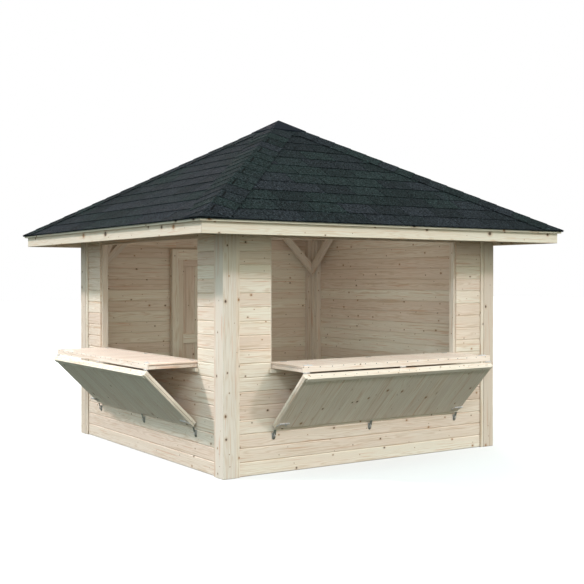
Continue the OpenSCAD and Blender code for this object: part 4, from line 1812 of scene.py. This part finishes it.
@dataclass
class Studio:
    """Floor, light and camera."""

    eye: Point = (-5.4753, -8.4704, 1.6116)
    yaw: float = math.radians(33.6433)
    tilt: float = math.radians(-0.7407)
    lens: float = 61.73
    sky: Colour = (0.80, 0.93, 0.88)
    sky_strength: float = 1.37
    suns: tuple[Sun, ...] = (
        Sun("front_sun", (-0.43, 1.0, -0.68), 0.74, (1.0, 0.88, 0.92)),
        Sun("side_sun", (1.0, -0.7, -1.166), 2.25, (1.0, 0.92, 0.92)),
        Sun("front_fill", (0.0, 1.0, -0.4), 0.4, (1.0, 0.85, 0.35), 70),
        Sun("front_sky", (0.1, 1.0, -0.95), 0.15, (0.5, 0.56, 1.0), 34),
        Sun("corner_sun", (0.63, 1.0, -0.78), 0.6, (0.72, 0.80, 0.92)),
        Sun("back_sun", (-0.6, -1.0, -0.4), 0.7, (1.0, 0.80, 0.78), 12),
        Sun("side_fill", (1.0, 0.0, -0.4), 0.25, (0.2, 0.6, 1.0), 70),
    )
    lamp_place: Point = (0.2, -0.3, 1.45)
    lamp_power: float = 21.5
    lamp_colour: Colour = (0.94, 1.0, 0.95)
    lamp_radius: float = 0.9
    floor_half: float = 60.0
    floor_colour: Colour = (0.045, 0.054, 0.042)
    floor_grey: Colour = (0.86, 0.86, 0.86)
    floor_glow: float = 0.45

    def build(self) -> None:
        """Builds the studio round the stall."""
        self._camera()
        for sun in self.suns:
            sun.light()
        self._room_lamp()
        self._world()
        self._floor()
        bpy.context.scene.view_settings.view_transform = "Standard"

    def _camera(self) -> None:
        """The camera at standing eye height, off the stall's front left corner."""
        data = bpy.data.cameras.new("camera")
        data.lens = self.lens
        camera = new_object("camera", data)
        camera.location = self.eye
        camera.rotation_euler = (math.pi / 2 + self.tilt, 0, -self.yaw)
        bpy.context.scene.camera = camera

    def _room_lamp(self) -> None:
        """A big soft lamp in the middle of the room, which no camera sees."""
        data = bpy.data.lights.new("room_lamp", "POINT")
        data.energy = self.lamp_power
        data.color = self.lamp_colour
        data.shadow_soft_size = self.lamp_radius
        lamp = new_object("room_lamp", data)
        lamp.location = self.lamp_place
        lamp.visible_camera = False
        lamp.visible_glossy = False

    def _world(self) -> None:
        """Soft light from all round, with a white backdrop for the camera."""
        world = bpy.data.worlds.new("studio")
        world.use_nodes = True
        bpy.context.scene.world = world
        nodes, g = world.node_tree.nodes, Graph(world.node_tree)
        soft = nodes["Background"]
        g.feed(soft, {0: (*self.sky, 1), 1: self.sky_strength})
        white = g.out("ShaderNodeBackground", {"Color": (1, 1, 1, 1), "Strength": 1.0})
        path = g.add("ShaderNodeLightPath").outputs
        seen = g.math("MAXIMUM", path["Is Camera Ray"], path["Is Glossy Ray"])
        seen = g.math("MAXIMUM", seen, path["Is Transmission Ray"])
        mixed = g.out("ShaderNodeMixShader", {0: seen, 1: soft.outputs[0], 2: white})
        g.feed(nodes["World Output"], {0: mixed})

    def _floor(self) -> None:
        """A floor that reads white to the camera and keeps the stall's shadow."""
        mesh, half = bpy.data.meshes.new("floor"), self.floor_half
        corners = [(-half, -half, 0), (half, -half, 0), (half, half, 0), (-half, half, 0)]
        mesh.from_pydata(corners, [], [(0, 1, 2, 3)])
        new_object("floor", mesh)
        material, g, shader = new_material("pale_floor")
        g.feed(shader, {"Base Color": (*self.floor_colour, 1), "Roughness": 1.0, "Specular IOR Level": 0.0})
        camera = g.add("ShaderNodeLightPath").outputs["Is Camera Ray"]
        plain = g.out("ShaderNodeBsdfDiffuse", {"Color": (*self.floor_grey, 1)})
        glow = g.out("ShaderNodeEmission", {"Color": (1, 1, 1, 1), "Strength": 1.0})
        seen = g.out("ShaderNodeMixShader", {0: self.floor_glow, 1: plain, 2: glow})
        mixed = g.out("ShaderNodeMixShader", {0: camera, 1: shader.outputs[0], 2: seen})
        g.feed(material.node_tree.nodes["Material Output"], {0: mixed})
        mesh.materials.append(material)


def main() -> None:
    """Builds the stall's looks, sub-assembly by sub-assembly."""
    logging.basicConfig(level=logging.INFO, format="%(message)s")
    shop = Workshop()
    Framework(shop).build()
    Walls(shop).build()
    for side in (Side.FRONT, Side.LEFT):
        Hatch(shop, side).build()
    Door(shop).build()
    Roof(shop).build()
    Hardware(shop).build()
    Studio().build()


if __name__ == "__main__":
    main()
